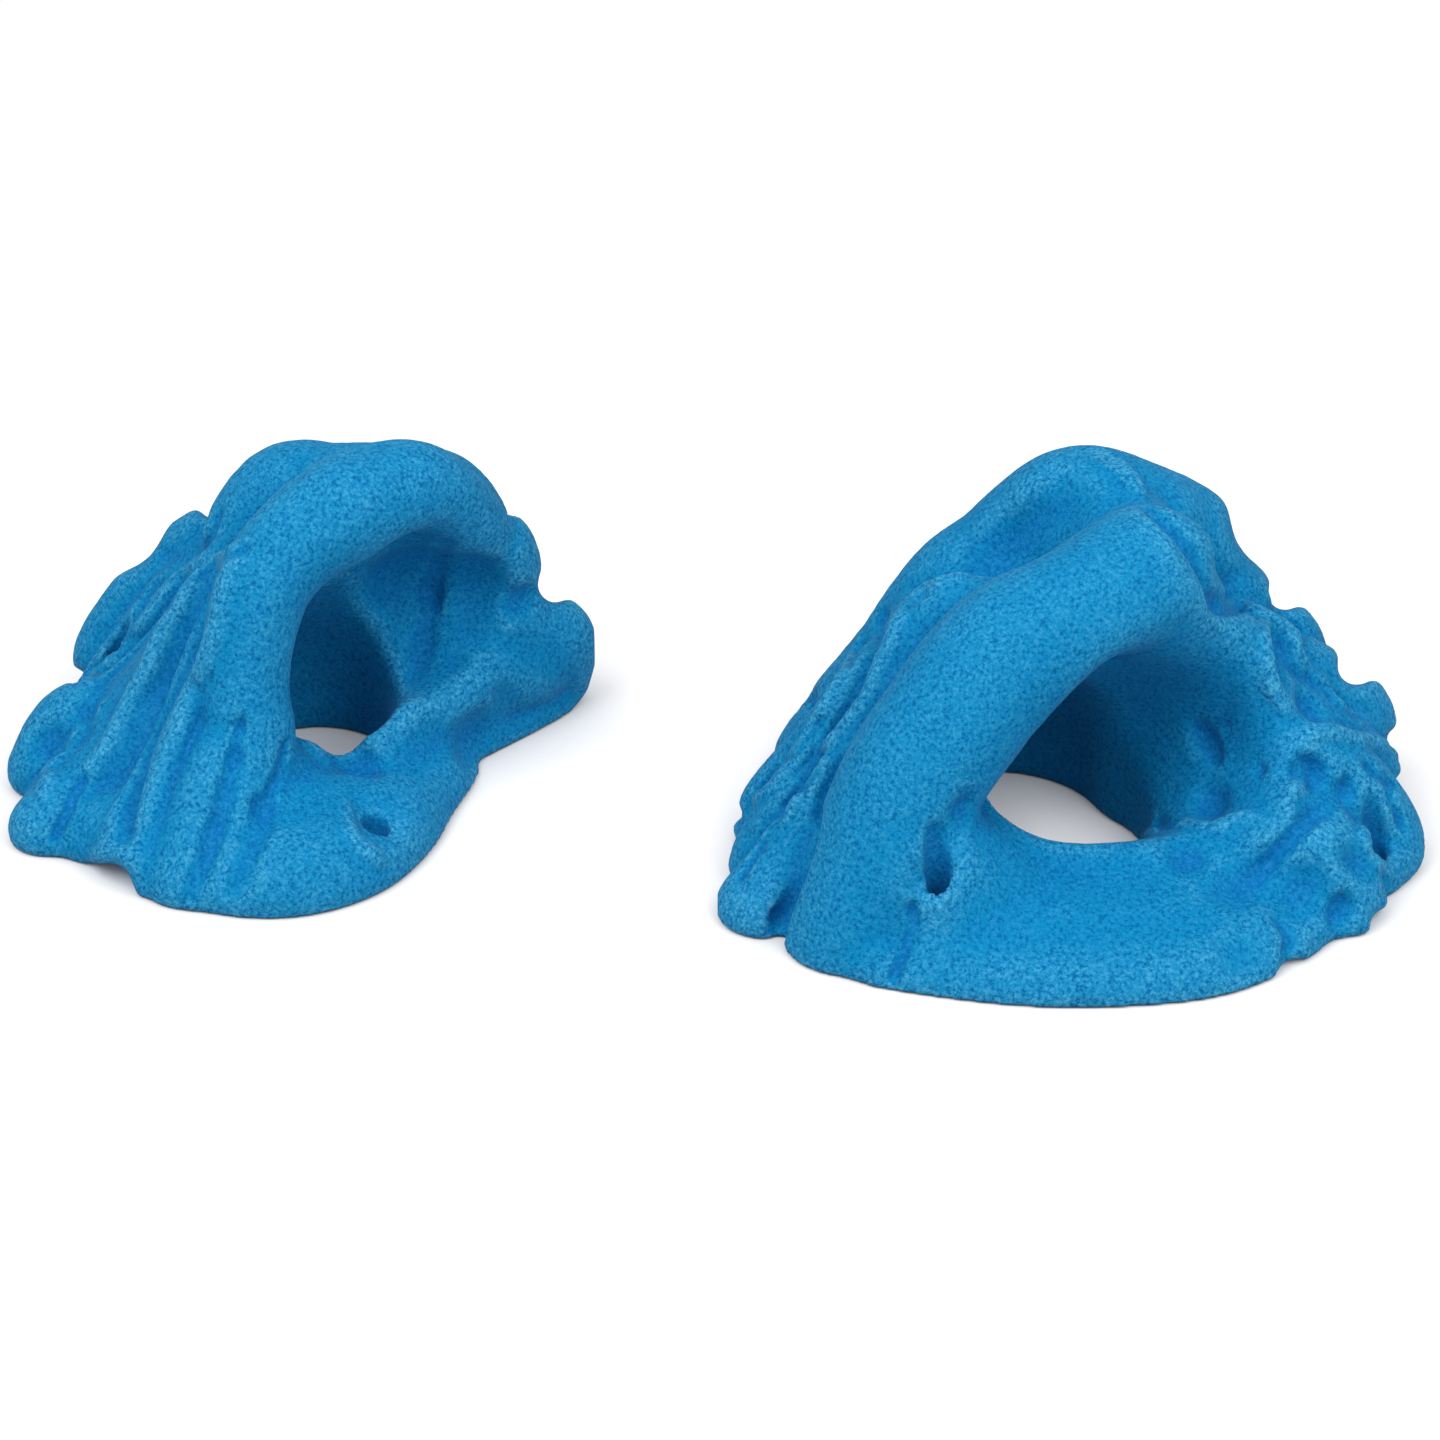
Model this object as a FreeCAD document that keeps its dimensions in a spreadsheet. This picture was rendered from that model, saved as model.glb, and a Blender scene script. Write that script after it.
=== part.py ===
"""Two cast climbing holds of one set, lying on their flat backs side by side.

Each hold is one casting: ridges run from a summit down to lobes at its edge, and an arch spans a
pocket that is open through the flat back. Screws hold it to a wall, each through a moulded-in washer.
+Z points away from the wall, and the origin is the middle of the set's flat backs. Millimetres.
"""
import FreeCAD, Part
import itertools
import math
import os
import Sketcher

Vector = FreeCAD.Vector

# Driving sizes: name, value, what it is
SIZES = (
    ("large_half_length", "145", "large hold: half of its length, to the tips of its lobes"),
    ("large_half_width", "130", "large hold: half of its width"),
    ("large_height", "160", "large hold: height of its summit"),
    ("large_rib_radius", "27", "large hold: radius of its arch, which its other ribs follow"),
    ("small_half_length", "125", "small hold: half of its length"),
    ("small_half_width", "120", "small hold: half of its width"),
    ("small_height", "155", "small hold: height of its summit"),
    ("small_rib_radius", "20", "small hold: radius of its arch, which its other ribs follow"),
    ("facet_size", "8.5", "size of the facets of the castings' skins"),
    ("hold_spacing", "323", "distance between the two holds' middles along X"),
    ("hold_stagger", "62", "how much further back the small hold lies"),
    ("screw_hole_diameter", "5.5", "hole for a 5 mm wood screw"),
    ("washer_diameter", "12", "outer diameter of a washer"),
    ("washer_thickness", "1.2", "thickness of a washer"),
    ("washer_clearance", "0.2", "gap round a washer in its recess"),
    ("recess_reach", "45", "how far a washer's recess is cut above its seat"),
    ("cut_overrun", "10", "how far a cutting body runs past the surface it opens"),
)

# Ribs and hollows are chains of balls, filled in between and blended where they meet. Each has its
# blend's width as a share of the rib radius, and its balls: place as shares of half length, half
# width and height from the middle of the back, and radius as a share of the rib radius.
LARGE_RIDGE_SHARES = {
    "core": (0.30, (
        (-0.07, 0.12, 0.06, 3.04), (0.00, 0.22, 0.31, 2.15),
    )),
    "right_bulk": (0.44, (
        (0.21, 0.00, 0.05, 2.37), (0.46, 0.06, -0.01, 1.85),
    )),
    "left_skirt": (0.44, (
        (-0.34, 0.04, 0.31, 1.33), (-0.57, -0.06, 0.14, 1.19), (-0.66, -0.12, 0.00, 1.04),
        (-0.50, -0.34, 0.00, 0.89),
    )),
    "back_left_skirt": (0.44, (
        (-0.34, 0.25, 0.28, 1.33), (-0.55, 0.22, 0.06, 1.11),
    )),
    "right_skirt": (0.44, (
        (0.46, 0.31, 0.28, 1.19), (0.60, 0.36, 0.02, 1.04),
    )),
    "right_front_skirt": (0.44, (
        (0.55, 0.00, 0.19, 1.04), (0.69, 0.06, 0.00, 1.00), (0.70, -0.22, 0.00, 1.00),
    )),
    "front_arch": (0.19, (
        (-0.63, -0.58, -0.03, 1.11), (-0.58, -0.55, 0.16, 1.00), (-0.49, -0.48, 0.38, 1.00),
        (-0.38, -0.41, 0.53, 1.00), (-0.27, -0.34, 0.65, 1.00), (-0.17, -0.28, 0.71, 1.00),
        (-0.03, -0.22, 0.75, 1.00), (0.11, -0.13, 0.80, 1.00), (0.19, -0.08, 0.82, 0.96),
        (0.23, -0.05, 0.73, 0.93), (0.28, -0.01, 0.61, 0.89), (0.33, 0.02, 0.49, 0.89),
    )),
    "second_arch_ridge": (0.11, (
        (-0.23, -0.09, 0.69, 0.59), (-0.34, -0.05, 0.68, 0.59), (-0.41, -0.06, 0.62, 0.59),
        (-0.48, -0.17, 0.49, 0.59), (-0.62, -0.28, 0.31, 0.59), (-0.76, -0.37, 0.12, 0.67),
        (-0.87, -0.44, 0.01, 0.74),
    )),
    "left_rib_front": (0.11, (
        (-0.39, 0.06, 0.61, 0.56), (-0.57, -0.04, 0.44, 0.52), (-0.70, -0.12, 0.29, 0.52),
        (-0.83, -0.20, 0.11, 0.52), (-0.88, -0.23, 0.03, 0.48),
    )),
    "left_rib_back": (0.11, (
        (-0.39, 0.22, 0.53, 0.63), (-0.55, 0.11, 0.38, 0.59), (-0.69, 0.06, 0.24, 0.56),
        (-0.81, 0.03, 0.11, 0.56), (-0.86, 0.01, 0.03, 0.52),
    )),
    "back_ridge_left": (0.15, (
        (0.21, 0.31, 0.78, 0.89), (0.03, 0.32, 0.82, 1.00), (-0.08, 0.35, 0.75, 0.96),
        (-0.18, 0.35, 0.66, 0.93), (-0.29, 0.35, 0.59, 0.89), (-0.37, 0.35, 0.50, 0.85),
        (-0.44, 0.35, 0.39, 0.85), (-0.59, 0.40, 0.17, 0.85), (-0.69, 0.43, 0.03, 0.78),
    )),
    "summit_spur": (0.15, (
        (0.06, 0.29, 0.82, 0.93), (0.14, 0.12, 0.82, 0.74), (0.19, -0.06, 0.82, 0.74),
    )),
    "back_ridge_right": (0.15, (
        (0.06, 0.32, 0.82, 0.96), (0.30, 0.40, 0.71, 0.93), (0.40, 0.46, 0.57, 0.89),
        (0.48, 0.49, 0.41, 0.89), (0.55, 0.58, 0.21, 0.89), (0.61, 0.65, 0.03, 0.81),
    )),
    "funnel_rim": (0.15, (
        (0.31, -0.03, 0.68, 0.67), (0.43, -0.02, 0.56, 0.59), (0.51, -0.04, 0.45, 0.56),
        (0.57, -0.08, 0.33, 0.56), (0.72, 0.05, 0.26, 0.56),
    )),
    "right_lobe_back": (0.11, (
        (0.43, 0.35, 0.55, 0.74), (0.55, 0.42, 0.44, 0.70), (0.64, 0.46, 0.36, 0.67),
        (0.70, 0.51, 0.16, 0.67), (0.72, 0.52, 0.03, 0.67),
    )),
    "right_lobe_middle": (0.11, (
        (0.46, 0.14, 0.50, 0.74), (0.67, 0.23, 0.36, 0.70), (0.81, 0.29, 0.24, 0.74),
        (0.86, 0.31, 0.14, 0.63), (0.88, 0.32, 0.05, 0.59),
    )),
    "right_lobe_side": (0.11, (
        (0.55, 0.00, 0.38, 0.67), (0.72, 0.05, 0.27, 0.59), (0.84, 0.11, 0.16, 0.59),
        (0.90, 0.14, 0.04, 0.52),
    )),
    "right_lobe_front": (0.15, (
        (0.58, -0.11, 0.29, 0.89), (0.76, -0.11, 0.18, 0.81), (0.87, -0.11, 0.04, 0.74),
        (0.80, -0.23, 0.01, 0.74),
    )),
    "right_corner": (0.15, (
        (0.50, -0.26, 0.21, 0.96), (0.65, -0.37, 0.11, 0.89), (0.73, -0.43, 0.00, 0.74),
    )),
    "apron_edge": (0.22, (
        (-0.52, -0.71, -0.03, 0.81), (-0.24, -0.79, -0.03, 0.78), (0.00, -0.81, -0.03, 0.78),
        (0.28, -0.77, -0.03, 0.78), (0.46, -0.65, -0.02, 0.78), (0.59, -0.49, 0.00, 0.78),
    )),
    "apron_top": (0.30, (
        (-0.39, -0.49, 0.12, 1.00), (-0.28, -0.48, 0.09, 0.96), (-0.08, -0.46, 0.02, 1.00),
        (0.12, -0.45, 0.01, 1.04), (0.37, -0.38, 0.03, 1.04), (0.54, -0.29, 0.07, 0.93),
    )),
    "back_lobe_far_left": (0.19, (
        (-0.34, 0.46, 0.31, 1.04), (-0.62, 0.52, 0.05, 0.89),
    )),
    "back_lobe_left": (0.19, (
        (-0.21, 0.54, 0.31, 1.04), (-0.43, 0.77, 0.03, 0.89),
    )),
    "back_lobe_middle": (0.19, (
        (0.00, 0.58, 0.38, 1.04), (-0.11, 0.85, 0.01, 0.81),
    )),
    "back_lobe_right": (0.19, (
        (0.14, 0.58, 0.38, 1.04), (0.18, 0.85, 0.01, 0.81),
    )),
    "back_lobe_far_right": (0.19, (
        (0.28, 0.54, 0.38, 0.96), (0.41, 0.75, 0.03, 0.89),
    )),
    "apron_slope": (0.30, (
        (-0.43, -0.60, 0.05, 1.00), (-0.25, -0.63, 0.01, 1.00), (0.00, -0.65, -0.01, 0.96),
        (0.26, -0.60, -0.01, 0.96), (0.46, -0.49, 0.00, 0.89),
    )),
    "arch_web": (0.30, (
        (-0.36, 0.12, 0.46, 0.89), (-0.19, 0.09, 0.55, 0.89), (-0.03, 0.09, 0.60, 0.89),
        (0.11, 0.12, 0.65, 0.81),
    )),
    "leg_fillet": (0.37, (
        (-0.44, -0.57, 0.21, 0.96), (-0.34, -0.54, 0.12, 1.00),
    )),
}

LARGE_HOLLOW_SHARES = {
    "floor_opening": (0.22, (
        (-0.19, 0.08, -0.16, 1.70), (-0.18, 0.05, 0.12, 1.56), (-0.10, -0.05, 0.28, 1.33),
    )),
    "pocket_and_mouth": (0.22, (
        (-0.06, -0.09, -0.12, 1.41), (0.00, -0.12, 0.19, 1.30), (0.10, -0.25, 0.39, 1.33),
        (0.23, -0.55, 0.53, 1.67), (0.37, -0.88, 0.68, 2.44),
    )),
    "funnel": (0.37, (
        (0.18, -0.20, 0.34, 1.11), (0.33, -0.35, 0.44, 1.30), (0.46, -0.73, 0.66, 2.22),
    )),
    "mouth_corner": (0.19, (
        (-0.10, -0.09, 0.24, 1.26), (-0.05, -0.28, 0.34, 1.07), (0.07, -0.28, 0.38, 1.22),
    )),
}

SMALL_RIDGE_SHARES = {
    "core": (0.40, (
        (0.00, 0.18, 0.06, 3.80), (0.04, 0.28, 0.32, 2.80),
    )),
    "right_bulk": (0.40, (
        (0.36, 0.33, 0.10, 2.30), (0.56, 0.43, 0.00, 1.60),
    )),
    "left_skirt": (0.40, (
        (-0.16, 0.00, 0.32, 2.00), (-0.48, -0.20, 0.08, 1.85), (-0.72, -0.32, -0.06, 1.50),
    )),
    "front_arch": (0.20, (
        (-0.19, -0.67, 0.04, 1.50), (-0.18, -0.57, 0.17, 1.10), (-0.14, -0.48, 0.30, 0.95),
        (-0.14, -0.42, 0.45, 0.88), (-0.08, -0.33, 0.68, 0.90), (0.03, -0.24, 0.79, 0.95),
        (0.18, -0.15, 0.85, 1.05), (0.32, -0.04, 0.86, 1.05), (0.43, 0.03, 0.85, 0.90),
        (0.53, 0.10, 0.78, 0.75), (0.61, 0.20, 0.65, 0.70),
    )),
    "back_dome_rib": (0.15, (
        (0.18, 0.22, 0.73, 1.10), (-0.02, 0.31, 0.70, 1.25), (-0.15, 0.27, 0.61, 1.10),
        (-0.24, 0.17, 0.49, 0.85), (-0.34, 0.10, 0.39, 0.80), (-0.48, 0.03, 0.27, 0.80),
        (-0.64, -0.05, 0.18, 0.85), (-0.77, -0.07, 0.14, 0.95), (-0.87, -0.12, 0.03, 0.90),
    )),
    "side_rib_front": (0.12, (
        (-0.10, -0.04, 0.65, 0.70), (-0.26, -0.10, 0.55, 0.65), (-0.40, -0.17, 0.40, 0.65),
        (-0.50, -0.25, 0.25, 0.65), (-0.67, -0.38, 0.10, 0.75), (-0.82, -0.50, 0.02, 0.85),
    )),
    "side_rib_groove": (0.12, (
        (-0.08, -0.12, 0.68, 0.65), (-0.21, -0.27, 0.52, 0.65), (-0.30, -0.40, 0.35, 0.70),
        (-0.40, -0.55, 0.17, 0.80), (-0.48, -0.73, 0.02, 1.05),
    )),
    "leg_rib": (0.15, (
        (-0.18, -0.52, 0.30, 0.75), (-0.24, -0.65, 0.17, 0.90), (-0.29, -0.78, 0.01, 1.15),
    )),
    "back_lobe_left": (0.15, (
        (-0.16, 0.43, 0.57, 0.90), (-0.34, 0.48, 0.49, 0.85), (-0.50, 0.50, 0.40, 0.80),
        (-0.62, 0.48, 0.28, 0.80), (-0.72, 0.45, 0.15, 0.80), (-0.72, 0.43, 0.03, 0.70),
    )),
    "back_left_skirt": (0.60, (
        (-0.40, 0.48, 0.26, 1.20), (-0.58, 0.42, 0.06, 1.10),
    )),
    "back_rib_left": (0.20, (
        (-0.32, 0.33, 0.45, 1.00), (-0.53, 0.28, 0.26, 0.90), (-0.70, 0.23, 0.10, 0.80),
        (-0.75, 0.22, 0.01, 0.75),
    )),
    "back_ridge_right": (0.15, (
        (0.16, 0.23, 0.75, 1.10), (0.37, 0.18, 0.78, 0.95), (0.48, 0.23, 0.75, 0.90),
        (0.56, 0.28, 0.67, 0.80), (0.59, 0.35, 0.54, 0.85), (0.61, 0.42, 0.34, 1.00),
        (0.64, 0.47, 0.06, 1.00),
    )),
    "back_fill_right": (0.25, (
        (0.24, 0.25, 0.62, 1.20), (0.42, 0.27, 0.59, 1.10), (0.53, 0.33, 0.45, 1.00),
    )),
    "wing_top_lobe": (0.15, (
        (0.51, 0.18, 0.67, 0.75), (0.62, 0.25, 0.62, 0.70), (0.69, 0.28, 0.55, 0.70),
        (0.70, 0.35, 0.36, 0.75), (0.72, 0.43, 0.10, 0.90),
    )),
    "wing_tip_lobe": (0.20, (
        (0.56, 0.25, 0.44, 0.95), (0.74, 0.35, 0.30, 0.85), (0.86, 0.42, 0.22, 0.80),
        (0.86, 0.48, 0.06, 0.65),
    )),
    "wing_wall": (0.30, (
        (0.40, 0.05, 0.19, 1.15), (0.59, 0.22, 0.22, 1.05), (0.74, 0.35, 0.17, 0.95),
    )),
    "wing_foot": (0.20, (
        (0.45, 0.03, -0.01, 0.75), (0.66, 0.25, 0.00, 0.70), (0.82, 0.42, 0.02, 0.65),
    )),
    "apron_edge": (0.30, (
        (-0.29, -0.78, 0.00, 1.15), (-0.03, -0.81, 0.00, 1.35), (0.16, -0.72, 0.00, 1.35),
        (0.29, -0.53, 0.00, 1.20), (0.37, -0.33, 0.00, 1.00), (0.46, -0.08, 0.00, 0.90),
    )),
    "apron_top": (0.30, (
        (-0.16, -0.62, 0.06, 1.40), (0.08, -0.57, 0.03, 1.30), (0.27, -0.40, 0.00, 1.10),
    )),
    "back_toe_left": (0.25, (
        (-0.19, 0.58, 0.26, 1.30), (-0.38, 0.77, 0.03, 1.10),
    )),
    "back_toe_middle": (0.25, (
        (0.08, 0.58, 0.29, 1.30), (0.02, 0.82, 0.02, 1.10),
    )),
    "back_toe_right": (0.25, (
        (0.36, 0.54, 0.29, 1.20), (0.38, 0.77, 0.03, 1.05),
    )),
    "mouth_sill": (0.20, (
        (-0.16, -0.50, 0.25, 0.95), (-0.06, -0.47, 0.14, 0.95), (0.10, -0.48, 0.02, 0.95),
        (0.24, -0.42, -0.01, 0.95), (0.37, -0.28, 0.00, 0.85),
    )),
    "left_web": (0.25, (
        (-0.77, -0.45, 0.01, 0.95), (-0.64, -0.52, 0.01, 1.00), (-0.53, -0.58, 0.04, 1.00),
    )),
}

SMALL_HOLLOW_SHARES = {
    "pocket_and_mouth": (0.30, (
        (0.02, -0.03, -0.13, 1.75), (0.04, -0.05, 0.19, 1.65), (0.12, -0.12, 0.35, 1.60),
        (0.22, -0.20, 0.48, 1.45), (0.32, -0.38, 0.45, 1.85), (0.53, -0.75, 0.49, 2.80),
    )),
    "wing_hollow": (0.50, (
        (0.27, -0.18, 0.50, 1.35), (0.40, -0.14, 0.63, 1.00), (0.54, -0.27, 0.67, 1.10),
    )),
}

# Screw holes: place and the height of the washer's seat, as shares of half length, half width and height
LARGE_SCREW_SHARES = {
    "leg": (-0.41, -0.71, 0.11),
    "flank": (0.84, -0.27, 0.06),
    "back_left": (-0.58, 0.63, 0.11),
    "back_right": (0.70, 0.64, 0.11),
}
SMALL_SCREW_SHARES = {
    "dish": (0.29, -0.68, 0.06),
    "side_lobe": (-0.66, 0.25, 0.09),
    "back_left": (-0.34, 0.78, 0.11),
    "back_right": (0.40, 0.78, 0.11),
}

# How the skins' corners are drawn to the true surface: shares of a facet, steps, and least slope
PROBE_SHARE = 0.02
CELL_MARGIN_SHARE = 0.06
FILLED_SHARE = 0.05
CORNER_STEPS = 3
LEAST_SLOPE = 0.5

# Lattice points beyond a casting's half length, half width and height, for both sides together
SPARE_POINTS = 4

# The corners of a lattice cell, its edges, and its diagonals, across a side or through the middle
CELL_CORNERS = tuple(itertools.product((0, 1), repeat=3))
CELL_EDGES = tuple(
    (a, b) for a, b in itertools.combinations(CELL_CORNERS, 2)
    if sum(p != q for p, q in zip(a, b)) == 1
)
CELL_DIAGONALS = tuple(
    (a, b, tuple(
        c for c in CELL_CORNERS
        if c not in (a, b) and all(r in (p, q) for p, q, r in zip(a, b, c))
    ))
    for a, b in itertools.combinations(CELL_CORNERS, 2)
    if sum(p != q for p, q in zip(a, b)) > 1
)

# The four cells round a lattice edge along X, Y and Z
CELLS_ROUND_EDGE = (
    ((0, -1, -1), (0, 0, -1), (0, 0, 0), (0, -1, 0)),
    ((-1, 0, -1), (-1, 0, 0), (0, 0, 0), (0, 0, -1)),
    ((-1, -1, 0), (0, -1, 0), (0, 0, 0), (-1, 0, 0)),
)


def make_sheet(doc):
    """The spreadsheet that holds the driving sizes."""
    sheet = doc.addObject("Spreadsheet::Sheet", "sizes")
    for row, (name, value, meaning) in enumerate(SIZES, start=1):
        sheet.set(f"A{row}", name)
        sheet.set(f"B{row}", value)
        sheet.set(f"C{row}", meaning)
        sheet.setAlias(f"B{row}", name)
    doc.recompute()
    return sheet


class Rib:
    """A chain of balls filled in between them, with the width of its blend into what it meets."""

    def __init__(self, blend, balls):
        self.blend = blend
        self.spans = []
        for (start, start_radius), (end, end_radius) in zip(balls[:-1], balls[1:]):
            along = end - start
            self.spans.append((
                start.x, start.y, start.z, along.x, along.y, along.z,
                along.dot(along), start_radius, end_radius - start_radius,
            ))
        self.middle = sum((place for place, _ in balls), Vector()) / len(balls)
        self.extent = max((place - self.middle).Length + radius for place, radius in balls)

    def least_distance(self, x, y, z):
        """What the distance from a point is at least."""
        return math.dist((x, y, z), self.middle) - self.extent

    def distance(self, x, y, z):
        """Distance from a point to the nearest span, negative inside."""
        nearest = math.inf
        for sx, sy, sz, ax, ay, az, square, radius, growth in self.spans:
            px, py, pz = x - sx, y - sy, z - sz
            part_way = max(0.0, min(1.0, (px * ax + py * ay + pz * az) / square))
            gap = math.sqrt(
                (px - part_way * ax) ** 2 + (py - part_way * ay) ** 2 + (pz - part_way * az) ** 2
            ) - radius - part_way * growth
            nearest = min(nearest, gap)
        return nearest


def make_ribs(shares, half_length, half_width, height, rib_radius):
    """The ribs of a table of shares, in real sizes."""
    return [
        Rib(blend_share * rib_radius, [
            (Vector(x * half_length, y * half_width, z * height), r * rib_radius)
            for x, y, z, r in ball_shares
        ])
        for blend_share, ball_shares in shares.values()
    ]


def blended(first, second, blend):
    """The union of two distances, rounded where they meet over the blend's width."""
    mix = max(0.0, min(1.0, 0.5 + 0.5 * (second - first) / blend))
    return second + (first - second) * mix - blend * mix * (1.0 - mix)


class Form:
    """Ribs blended into one body, less the hollows."""

    def __init__(self, ribs, hollows):
        self.ribs = ribs
        self.hollows = hollows

    def distance(self, x, y, z):
        """Distance from a point to the form's surface, negative inside."""
        total = self.ribs[0].distance(x, y, z)
        for rib in self.ribs[1:]:
            if rib.least_distance(x, y, z) < total + rib.blend:
                total = blended(total, rib.distance(x, y, z), rib.blend)
        for hollow in self.hollows:
            if hollow.least_distance(x, y, z) < hollow.blend - total:
                total = -blended(-total, hollow.distance(x, y, z), hollow.blend)
        return total

    def slope(self, place, probe):
        """The distance at a place, and how it grows along X, Y and Z."""
        x, y, z = place
        here = self.distance(x, y, z)
        return here, Vector(
            self.distance(x + probe, y, z) - here,
            self.distance(x, y + probe, z) - here,
            self.distance(x, y, z + probe) - here,
        ) / probe


def shifted(point, offset):
    """A lattice point or cell, moved by a number of steps along X, Y and Z."""
    return (point[0] + offset[0], point[1] + offset[1], point[2] + offset[2])


class Lattice:
    """A lattice of points on which a form is sampled, so that its skin can be faceted.

    A cell is the cube between eight points, and each cell that the surface passes through gives the
    skin one corner. The lowest points lie half a facet under the flat back and are outside.
    """

    def __init__(self, form, facet, half_length, half_width, height):
        self.form = form
        self.facet = facet
        self.counts = (
            2 * math.ceil(half_length / facet) + SPARE_POINTS,
            2 * math.ceil(half_width / facet) + SPARE_POINTS,
            math.ceil(height / facet) + SPARE_POINTS,
        )
        self.values = {
            point: form.distance(*self.place(point)) if point[2] > 0 else facet
            for point in itertools.product(*(range(count) for count in self.counts))
        }
        self.fill_pinches()

    def place(self, point):
        """Where a lattice point lies."""
        i, j, k = point
        return (
            (i - (self.counts[0] - 1) / 2) * self.facet,
            (j - (self.counts[1] - 1) / 2) * self.facet,
            (k - 1 / 2) * self.facet,
        )

    def is_inside(self, point):
        return self.values[point] < 0

    def crossed_cells(self):
        """The cells that have points on both sides of the surface."""
        for cell in itertools.product(*(range(count - 1) for count in self.counts)):
            sides = {self.is_inside(shifted(cell, corner)) for corner in CELL_CORNERS}
            if len(sides) > 1:
                yield cell

    def fill_pinches(self):
        """Fills the places where the skin would touch itself in a point or along an edge."""
        pinched = True
        while pinched:
            pinched = False
            for cell in list(self.crossed_cells()):
                for start, end, others in CELL_DIAGONALS:
                    pair = [shifted(cell, start), shifted(cell, end)]
                    rest = [shifted(cell, other) for other in others]
                    sides = [{self.is_inside(point) for point in group} for group in (pair, rest)]
                    if sides in ([{True}, {False}], [{False}, {True}]):
                        outer = rest if sides[0] == {True} else pair
                        nearest = min(outer, key=self.values.get)
                        self.values[nearest] = -self.facet * FILLED_SHARE
                        pinched = True

    def corner(self, cell):
        """The skin's corner in a cell, drawn onto the true surface, or onto the flat back."""
        on_back = cell[2] == 0
        crossings = []
        for start, end in CELL_EDGES:
            low, high = shifted(cell, start), shifted(cell, end)
            if self.is_inside(low) != self.is_inside(high) and not (on_back and low[2] == 0):
                share = self.values[low] / (self.values[low] - self.values[high])
                here, there = Vector(*self.place(low)), Vector(*self.place(high))
                crossings.append(here + (there - here) * share)
        middle = Vector(*self.place(cell)) + Vector(self.facet, self.facet, self.facet) / 2
        if not crossings:
            return middle
        spot = sum(crossings, Vector()) / len(crossings)
        room = self.facet * (1 / 2 - CELL_MARGIN_SHARE)
        for _ in range(CORNER_STEPS):
            if on_back:
                spot.z = 0
            gap, slope = self.form.slope(spot, self.facet * PROBE_SHARE)
            if on_back:
                slope.z = 0
            if slope.Length > 0:
                spot = spot - slope * (gap / max(slope.dot(slope), LEAST_SLOPE))
            spot = Vector(*(
                max(centre - room, min(centre + room, value)) for centre, value in zip(middle, spot)
            ))
        if on_back:
            spot.z = 0
        return spot

    def quads(self):
        """The four cells round each crossed lattice edge, in order round it seen from outside."""
        for point in self.values:
            for axis, ring in enumerate(CELLS_ROUND_EDGE):
                ahead = shifted(point, [int(axis == n) for n in range(3)])
                if ahead in self.values and self.is_inside(point) != self.is_inside(ahead):
                    cells = [shifted(point, offset) for offset in ring]
                    yield cells if self.is_inside(point) else cells[::-1]


def rim_loops(quads):
    """The closed loops of cells round a patch of quads."""
    sides = {side for cells in quads for side in zip(cells, cells[1:] + cells[:1])}
    following = {start: end for start, end in sorted(sides) if (end, start) not in sides}
    loops = []
    while following:
        cell = next(iter(following))
        loop = []
        while cell in following:
            loop.append(cell)
            cell = following.pop(cell)
        loops.append(loop)
    return loops


class Skin:
    """Faces that share their corners and edges."""

    def __init__(self, corners):
        self.corners = corners
        self.vertices = {cell: Part.Vertex(corner) for cell, corner in corners.items()}
        self.edges = {}
        self.faces = []

    def wire(self, cells):
        edges = []
        for start, end in zip(cells, cells[1:] + cells[:1]):
            side = (min(start, end), max(start, end))
            if side not in self.edges:
                self.edges[side] = Part.Edge(self.vertices[side[0]], self.vertices[side[1]])
            edges.append(self.edges[side])
        return Part.Wire(edges)

    def add(self, face, outward):
        """Takes a face in, turned to look outward."""
        if face.normalAt(0, 0).dot(outward) < 0:
            face.reverse()
        self.faces.append(face)

    def add_triangle(self, cells):
        a, b, c = (self.corners[cell] for cell in cells)
        self.add(Part.Face(self.wire(cells)), (b - a).cross(c - a))

    def add_quad(self, cells):
        """Adds a quad as two triangles, split along its shorter diagonal."""
        a, b, c, d = cells
        if self.gap(a, c) < self.gap(b, d):
            self.add_triangle([a, b, c])
            self.add_triangle([a, c, d])
        else:
            self.add_triangle([a, b, d])
            self.add_triangle([b, c, d])

    def gap(self, start, end):
        return (self.corners[end] - self.corners[start]).Length

    def solid(self):
        return Part.makeSolid(Part.makeShell(self.faces))


def casting_skin(lattice):
    """The casting as a solid: triangular facets over its flat back."""
    skin = Skin({cell: lattice.corner(cell) for cell in lattice.crossed_cells()})
    back = []
    for cells in lattice.quads():
        if all(cell[2] == 0 for cell in cells):
            back.append(cells)
        else:
            skin.add_quad(cells)
    rims = [skin.wire(loop) for loop in rim_loops(back)]
    for face in Part.makeFace(rims, "Part::FaceMakerBullseye").Faces:
        skin.add(face, Vector(0, 0, -1))
    return skin.solid()


def bind(target, name, expression):
    """Ties one property of an object to the spreadsheet."""
    target.setExpression(name, expression)


def make_cylinder(doc, name, place, radius, height):
    """An upright cylinder whose radius and height follow the spreadsheet."""
    cylinder = doc.addObject("Part::Cylinder", name)
    bind(cylinder, "Radius", radius)
    bind(cylinder, "Height", height)
    cylinder.Placement.Base = place
    return cylinder


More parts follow.
